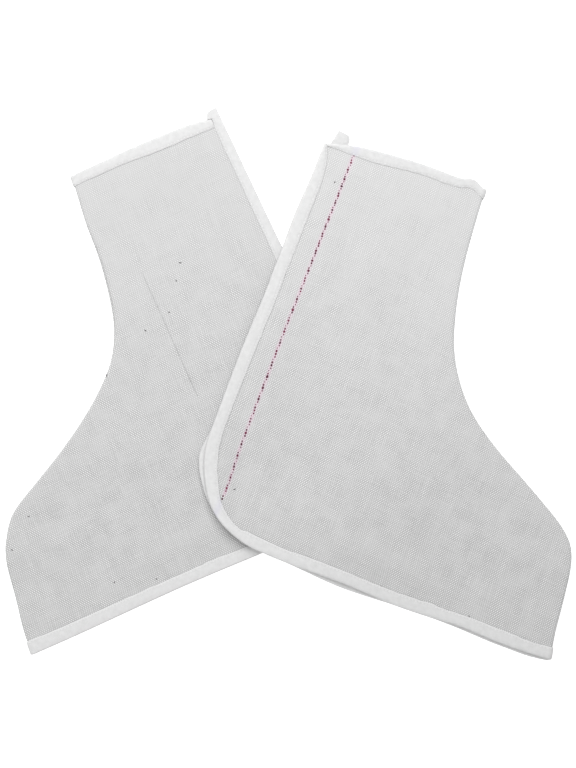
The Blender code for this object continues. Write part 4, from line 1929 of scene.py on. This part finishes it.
    def leg(self, path: TapeStations, reach: Array, wall: float) -> TapeLeg:
        """One leg of the section at every station.

        A point lies off the cloth's middle by half the gap plus the wall, less the dip of the stitches, a
        bell curve about their line. Outside, it is also less the rounding of the rim and carries a slight
        unevenness.

        Args:
            path: the stations along the tape.
            reach: how far the leg reaches into the cloth at each station.
            wall: how far the face lies outside the tape's inner face.

        Returns:
            The leg's points, from the rim to the fold.
        """
        centre = (path.gap_half + TAPE_WALL)[:, None]
        seed = self.cut.shape.seed
        wobble = self.width_play * soft_noise(path.distance[:, None], self.width_wave, seed + Draw.TAPE_WIDTH)
        reach = reach + wobble * smoothstep((reach - centre[:, 0]) / TAPE_REACH)
        leg = reach[:, None] - centre
        from_rim = np.array(self.leg_shares)[None] * leg
        groove = np.exp(-(((from_rim - self.stitch_line(leg)) / self.groove_width) ** 2))
        offset = (path.gap_half + wall)[:, None] - self.stitch_dip * groove * smoothstep(leg / self.rim_round)
        if wall > 0:
            round_reach = np.minimum(self.rim_round, self.rim_round_share * leg)
            drop = self.rim_drop * smoothstep(leg / self.rim_round)
            along = np.repeat(path.distance[:, None], len(self.leg_shares), axis=1)
            places = np.dstack([along, 2 * from_rim])
            play = soft_noise(places, self.surface_wave, seed + Draw.TAPE_SURFACE)
            offset = offset - drop * np.clip(1 - from_rim / round_reach, 0, 1) ** 2 + self.surface_play * play
        # Painted highlight mask: 1 at the rim, fading to 0 inside the tape.
        rim = np.clip(1 - from_rim / self.rim_highlight_reach, 0, 1)
        return TapeLeg(reach[:, None] - from_rim, offset, leg - from_rim, groove, rim)

    def shell(self, path: TapeStations, wall: float) -> tuple[Array, Array, dict[str, Array]]:
        """One face of the tape as a grid along the path: the outside leg, half a circle, and the inside leg.

        Args:
            path: the stations along the tape.
            wall: how far the face lies outside the tape's inner face.

        Returns:
            The points in the cutting frame, the places on the unrolled tape, and the marks.
        """
        outside = self.leg(path, path.outside_reach, wall)
        inside = self.leg(path, path.inside_reach, wall)
        radius = (path.gap_half + wall)[:, None]
        centre = (path.gap_half + TAPE_WALL)[:, None]
        angle = np.linspace(0, math.pi, self.fold_steps + 1)[None]

        def joined(first: Array, fold: Array, second: Array) -> Array:
            """One row of the grid: down the outside leg, round the fold and up the inside leg."""
            return np.hstack([first[:, :-1], fold, second[:, -2::-1]])

        depth = joined(outside.depth, centre - radius * np.sin(angle), inside.depth)
        offset = joined(outside.offset, radius * np.cos(angle), -inside.offset)
        points = path.as_columns().section(depth, offset)
        fold_run = math.pi * (TAPE_GAP_HALF + TAPE_WALL / 2)
        in_fold = np.linspace(-fold_run / 2, fold_run / 2, self.fold_steps + 1)[None] + 0 * radius
        width = joined(-fold_run / 2 - outside.to_fold, in_fold, fold_run / 2 + inside.to_fold)
        places = np.dstack([np.repeat(path.distance[:, None], width.shape[1], axis=1), width])
        shape = self.cut.shape
        near_yarn = np.exp(-((shape.from_yarn(shape.grain(points[..., :2])) / self.yarn_blur) ** 2))
        on_upper = (offset > 0) & (path.angle[:, None] == 0)
        # groove carries the painted shade along the stitches, rim the painted highlight along the rim.
        marks = {
            "groove": joined(outside.groove, 0 * in_fold, inside.groove),
            "rim": joined(outside.rim, 0 * in_fold, inside.rim),
            "yarn_below": shape.yarn_through * near_yarn * on_upper,
        }
        return points, places, marks

    def build(self, tape: Material, thread: Material) -> bpy.types.Object:
        """Make the tape and its stitches, and let the tape stand for its solid.

        Args:
            tape: the tape's finish.
            thread: the stitches' finish.

        Returns:
            The tape.
        """
        path = self.stations()
        outer, places, marks = self.shell(path, TAPE_WALL)
        inner, _, _ = self.shell(path, 0.0)
        under_share = np.repeat((path.angle / math.pi)[:, None], outer.shape[1], axis=1)
        shell = Shell(outer, inner, under_share, places, marks)
        node = f"{self.cut.shape.name}_{self.binding.value}_binding"
        piece = add_cloth(f"{self.name}_tape", node, self.cut, shell, self.rests_on, tape)
        self.stitches(path, thread)
        return piece

    def stitches(self, path: TapeStations, thread: Material) -> bpy.types.Object:
        """A line of stitches in the tape's groove, on the outside of the cover, at one pitch along the path.

        Args:
            path: the tape's path.
            thread: the stitches' finish.

        Returns:
            The piece.
        """
        rng = np.random.default_rng(self.cut.shape.seed + Draw.STITCHES)
        template, faces = spindle(self.stitch_length, self.stitch_width, self.stitch_height)
        starts = np.arange(self.stitch_pitch, path.distance[-1] - self.stitch_pitch, self.stitch_pitch)
        starts = starts + rng.uniform(-self.stitch_stray_along, self.stitch_stray_along, len(starts))
        sideways = rng.uniform(-self.stitch_stray_across, self.stitch_stray_across, len(starts))
        distance = starts[:, None] + template[None, :, 0]
        at = path.at(distance)
        centre = at.gap_half + TAPE_WALL
        from_rim = self.stitch_line(at.outside_reach - centre)
        depth = at.outside_reach - from_rim + template[None, :, 1] + sideways[:, None]
        offset = centre - self.stitch_dip + template[None, :, 2]
        points = lay(self.cut, at.section(depth, offset), at.angle / math.pi, self.rests_on)
        tone = np.repeat(rng.uniform(0, 1, len(starts))[:, None], len(template), axis=1)
        places = np.dstack([distance, np.repeat(template[None, :, 1], len(starts), axis=0)])
        every_face = repeated_faces(faces, len(template), len(starts))
        name = f"{self.name}_stitches"
        return add_piece(name, points, every_face, thread, places, {"tone": tone})

    def flat_size(self) -> tuple[float, float]:
        """The size that the tape is cut to.

        Returns:
            Its width before folding and its length, in metres.
        """
        path = self.stations()
        width = 2 * (TAPE_REACH - CUT_INSET) + math.pi * (TAPE_GAP_HALF + TAPE_WALL / 2)
        return width * MM, float(path.distance[-1]) * MM


class YarnFloats(NamedTuple):
    """Each float of a coloured yarn: its middle along the grain, its size and how far aside it lies."""

    along: Array
    size: Array
    aside: Array


@dataclass(frozen=True)
class FloatRhythm:
    """A float's size, and how floats of a coloured yarn follow each other, in leaning groups.

    Floats and groups may come closer together towards the top edge.
    """

    length: float
    width: float
    height: float
    pitch: float
    top_pitch: float
    group: float
    top_group: float
    first_group: float
    smallest: float
    lean: float
    closer_from: float = 150.0
    closer_over: float = 150.0

    def floats(self, yarn: tuple[YarnRow, ...]) -> YarnFloats:
        """The floats from the yarn's first row to its last.

        Each float's size is a cosine of its place in its group, largest in the middle, and the yarn is drawn
        evenly from one side to the other within the group.

        Args:
            yarn: where the yarn lies.

        Returns:
            The floats.
        """
        along, phase = [yarn[0].along], [(yarn[0].along - self.first_group) / self.group]
        while along[-1] < yarn[-1].along:
            share = float(smoothstep(np.array((along[-1] - self.closer_from) / self.closer_over)))
            step = self.pitch + (self.top_pitch - self.pitch) * share
            group = self.group + (self.top_group - self.group) * share
            along.append(along[-1] + step)
            phase.append(phase[-1] + step / group)
        phases = np.array(phase)
        size = self.smallest + (1 - self.smallest) * (0.5 + 0.5 * np.cos(2 * math.pi * phases))
        aside = self.lean * (0.5 - np.mod(phases + 0.5, 1.0))
        return YarnFloats(np.array(along), size, aside)


@dataclass
class WovenMarks:
    """What shows on a cover's upper canvas: floats of a coloured yarn and dark flecks of fibre."""

    side: CanvasSide
    stretches: tuple[float, float] = (0.75, 1.2)
    widenings: tuple[float, float] = (0.75, 1.15)
    stray: float = 0.08
    fleck_size: tuple[float, float, float] = (1.6, 0.95, 0.3)
    fleck_bend: float = 0.3
    fleck_lift: float = 0.08

    def floats(self, name: str, rhythm: FloatRhythm, material: Material) -> bpy.types.Object:
        """The places where a coloured yarn comes up over the others.

        Args:
            name: the piece's name.
            rhythm: the floats' full size and how they follow each other.
            material: their finish.

        Returns:
            The piece.
        """
        shape = self.side.cut.shape
        floats = rhythm.floats(shape.yarn)
        rng = np.random.default_rng(shape.seed + Draw.FLOATS)
        template, faces = spindle(rhythm.length, rhythm.width, rhythm.height)
        count = len(floats.along)
        stretch = floats.size * rng.uniform(*self.stretches, count)
        widen = floats.size * rng.uniform(*self.widenings, count)
        along = floats.along[:, None] + template[None, :, 0] * stretch[:, None]
        across = read_rows(shape.yarn, along) + template[None, :, 1] * widen[:, None]
        across = across + (floats.aside + rng.uniform(-self.stray, self.stray, count))[:, None]
        points = self.side.top_points(shape.off_grain(across, along), template[None, :, 2] + 0.0 * along)
        tone = np.repeat(rng.uniform(0, 1, count)[:, None], len(template), axis=1)
        every_face = repeated_faces(faces, len(template), count)
        places = np.dstack([along, across])
        return add_piece(name, points, every_face, material, places, {"tone": tone})

    def flecks(self, material: Material) -> bpy.types.Object:
        """Short dark fibres that lie on the canvas, each in its own direction.

        Args:
            material: their finish.

        Returns:
            The piece.
        """
        template, faces = spindle(*self.fleck_size)
        flecks = self.side.cut.shape.flecks
        centre = np.array([(fleck.x, fleck.y) for fleck in flecks])[:, None]
        length = np.array([fleck.length for fleck in flecks])[:, None]
        turn = np.radians([fleck.turn_degrees for fleck in flecks])[:, None]
        along, across = template[None, :, 0] * length, template[None, :, 1] + 0.0 * length
        bent = across + self.fleck_bend * along**2
        x = along * np.cos(turn) - bent * np.sin(turn)
        y = along * np.sin(turn) + bent * np.cos(turn)
        xy = np.dstack([x, y])
        points = self.side.top_points(centre + xy, template[None, :, 2] + self.fleck_lift + 0.0 * along)
        tone = np.repeat(np.linspace(0, 1, len(flecks))[:, None], len(template), axis=1)
        name = f"{self.side.cut.shape.name}_flecks"
        every_face = repeated_faces(faces, len(template), len(flecks))
        places = np.dstack([along, across])
        return add_piece(name, points, every_face, material, places, {"tone": tone})


@dataclass
class ShoeCover:
    """One cover: both sides, both tapes and their stitches."""

    cut: CoverCut
    rests_on: Optional[CoverCut]
    upper_fineness: int = 8
    under_fineness: int = 4

    def build(self, canvas: Material, finishes: Finishes) -> CanvasSide:
        """Make the cover's pieces and log the flat sizes of its cloth.

        Args:
            canvas: the finish of its canvas.
            finishes: the pair's other finishes.

        Returns:
            The upper side, for what lies on it.
        """
        shape = self.cut.shape
        below = "floor" if self.rests_on is None else f"{self.rests_on.shape.name}_upper_canvas"
        under = CanvasSide(self.cut, Layer.UNDER, self.rests_on, self.under_fineness)
        upper = CanvasSide(self.cut, Layer.UPPER, self.rests_on, self.upper_fineness)
        under_piece, upper_piece = under.build(canvas), upper.build(canvas)
        edge = FoldedTape(self.cut, Binding.EDGE, self.rests_on)
        top = FoldedTape(self.cut, Binding.TOP, self.rests_on)
        edge_piece = edge.build(finishes.tape, finishes.sewing_thread)
        top_piece = top.build(finishes.tape, finishes.sewing_thread)
        outline = self.cut.outline() * MM
        flat = tuple(float(size) for size in outline.max(axis=0) - outline.min(axis=0))
        area = self.cut.area()
        edge.flat_size()
        top.flat_size()
        log.info("%s side: %.3f x %.3f m, %.4f m2", shape.name, *flat, area)
        log.info("%s tapes: %s and %s m", shape.name, edge.flat_size(), top.flat_size())
        return upper


@dataclass(frozen=True)
class Studio:
    """A white floor, a large soft lamp past the top edges, a weak one opposite, and a camera above."""

    floor_half: float = 4.0
    floor_drop: float = 0.0001
    camera_height: float = 4.0
    view_height: float = PHOTO_PIXELS_HIGH * PIXEL
    view_middle: tuple[float, float] = (-0.00027, -0.00124)
    sensor: float = 36.0
    key_place: tuple[float, float, float] = (-0.08, 0.66, 1.05)
    key_size: float = 1.3
    key_power: float = 15.1
    fill_place: tuple[float, float, float] = (-0.55, -0.55, 0.70)
    fill_size: float = 0.8
    fill_power: float = 1.8
    sky: Colour = (1.0, 1.0, 1.0)
    sky_strength: float = 0.58

    def floor(self) -> None:
        """The floor: one large square just below the cloth."""
        mesh = bpy.data.meshes.new("floor")
        half = self.floor_half
        square = ((-half, -half), (half, -half), (half, half), (-half, half))
        corners = [(x, y, -self.floor_drop) for x, y in square]
        mesh.from_pydata(corners, [], [(0, 1, 2, 3)])
        mesh.materials.append(FloorFinish().build())
        add_object("floor", mesh)

    def lamp(self, name: str, place: tuple[float, float, float], size: float, power: float) -> None:
        """A round soft lamp that looks at the middle of the pair.

        Args:
            name: the lamp's name.
            place: where it hangs.
            size: its diameter.
            power: its power in watts.
        """
        data = bpy.data.lights.new(name, "AREA")
        data.shape = "DISK"
        data.size = size
        data.energy = power
        lamp = add_object(name, data)
        lamp.location = place
        x, y, z = place
        lamp.rotation_euler = (math.atan2(math.hypot(x, y), z), 0.0, math.atan2(y, x) + math.pi / 2)

    def lights(self) -> None:
        """The two lamps and an even sky."""
        self.lamp("key", self.key_place, self.key_size, self.key_power)
        self.lamp("fill", self.fill_place, self.fill_size, self.fill_power)
        world = bpy.data.worlds.new("sky")
        world.use_nodes = True
        background = world.node_tree.nodes["Background"]
        background.inputs["Color"].default_value = (*self.sky, 1.0)
        background.inputs["Strength"].default_value = self.sky_strength
        bpy.context.scene.world = world

    def camera(self) -> None:
        """A long lens straight above, whose picture is as high as the view."""
        data = bpy.data.cameras.new("camera")
        data.sensor_fit = "VERTICAL"
        data.sensor_height = self.sensor
        data.lens = self.sensor * self.camera_height / self.view_height
        data.clip_end = 4 * self.camera_height
        camera = add_object("camera", data)
        camera.location = (*self.view_middle, self.camera_height)
        bpy.context.scene.camera = camera

    def build(self) -> None:
        """Set up the studio and a plain view transform."""
        self.floor()
        self.lights()
        self.camera()
        bpy.context.scene.view_settings.view_transform = "Standard"
        bpy.context.scene.view_settings.look = "None"


def main() -> None:
    """Build the studio, the left cover and the right cover on it, and report each piece."""
    logging.basicConfig(level=logging.INFO, format="%(name)s: %(message)s")
    Studio().build()
    left_canvas = CanvasFinish(
        name="left_canvas",
        yarn_tint=(0.34, 0.34, 0.34),
        yarn_share=0.46,
        yarn_core=0.25 * MM,
        yarn_reach=0.8 * MM,
        hem_tone_with_painted_light=0.945,
        top_tone_with_painted_light=0.985,
    )
    right_canvas = CanvasFinish(
        name="right_canvas",
        yarn_tint=(0.76, 0.42, 0.59),
        yarn_share=0.38,
        yarn_core=0.3 * MM,
        yarn_reach=2.7 * MM,
        hem_tone_with_painted_light=0.955,
        top_tone_with_painted_light=1.035,
    )
    finishes = Finishes(
        left_canvas=left_canvas.build(),
        right_canvas=right_canvas.build(),
        tape=TapeFinish().build(),
        sewing_thread=ThreadFinish("sewing_thread", (0.76, 0.76, 0.76), (0.68, 0.68, 0.68)).build(),
        dyed_thread=ThreadFinish("dyed_thread", (0.055, 0.009, 0.024), (0.17, 0.022, 0.06)).build(),
        grey_yarn=ThreadFinish("grey_yarn", (0.24, 0.24, 0.24), (0.34, 0.34, 0.34)).build(),
        fleck=ThreadFinish("fleck", (0.06, 0.055, 0.058), (0.14, 0.13, 0.135)).build(),
    )
    left_cut, right_cut = CoverCut(LEFT_COVER), CoverCut(RIGHT_COVER)
    left_side = ShoeCover(left_cut, None).build(finishes.left_canvas, finishes)
    right_side = ShoeCover(right_cut, left_cut).build(finishes.right_canvas, finishes)
    grey_floats = FloatRhythm(
        length=1.5,
        width=0.42,
        height=0.24,
        pitch=2.66,
        top_pitch=2.66,
        group=13.0,
        top_group=13.0,
        first_group=160.0,
        smallest=0.5,
        lean=0.3,
    )
    dyed_floats = FloatRhythm(
        length=2.7,
        width=2.05,
        height=0.6,
        pitch=2.56,
        top_pitch=2.16,
        group=10.3,
        top_group=7.4,
        first_group=41.0,
        smallest=0.42,
        lean=1.15,
    )
    left_marks, right_marks = WovenMarks(left_side), WovenMarks(right_side)
    left_marks.floats("left_cover_grey_yarn", grey_floats, finishes.grey_yarn)
    left_marks.flecks(finishes.fleck)
    right_marks.floats("right_cover_selvage_yarn", dyed_floats, finishes.dyed_thread)
    right_marks.flecks(finishes.fleck)


if __name__ == "__main__":
    main()
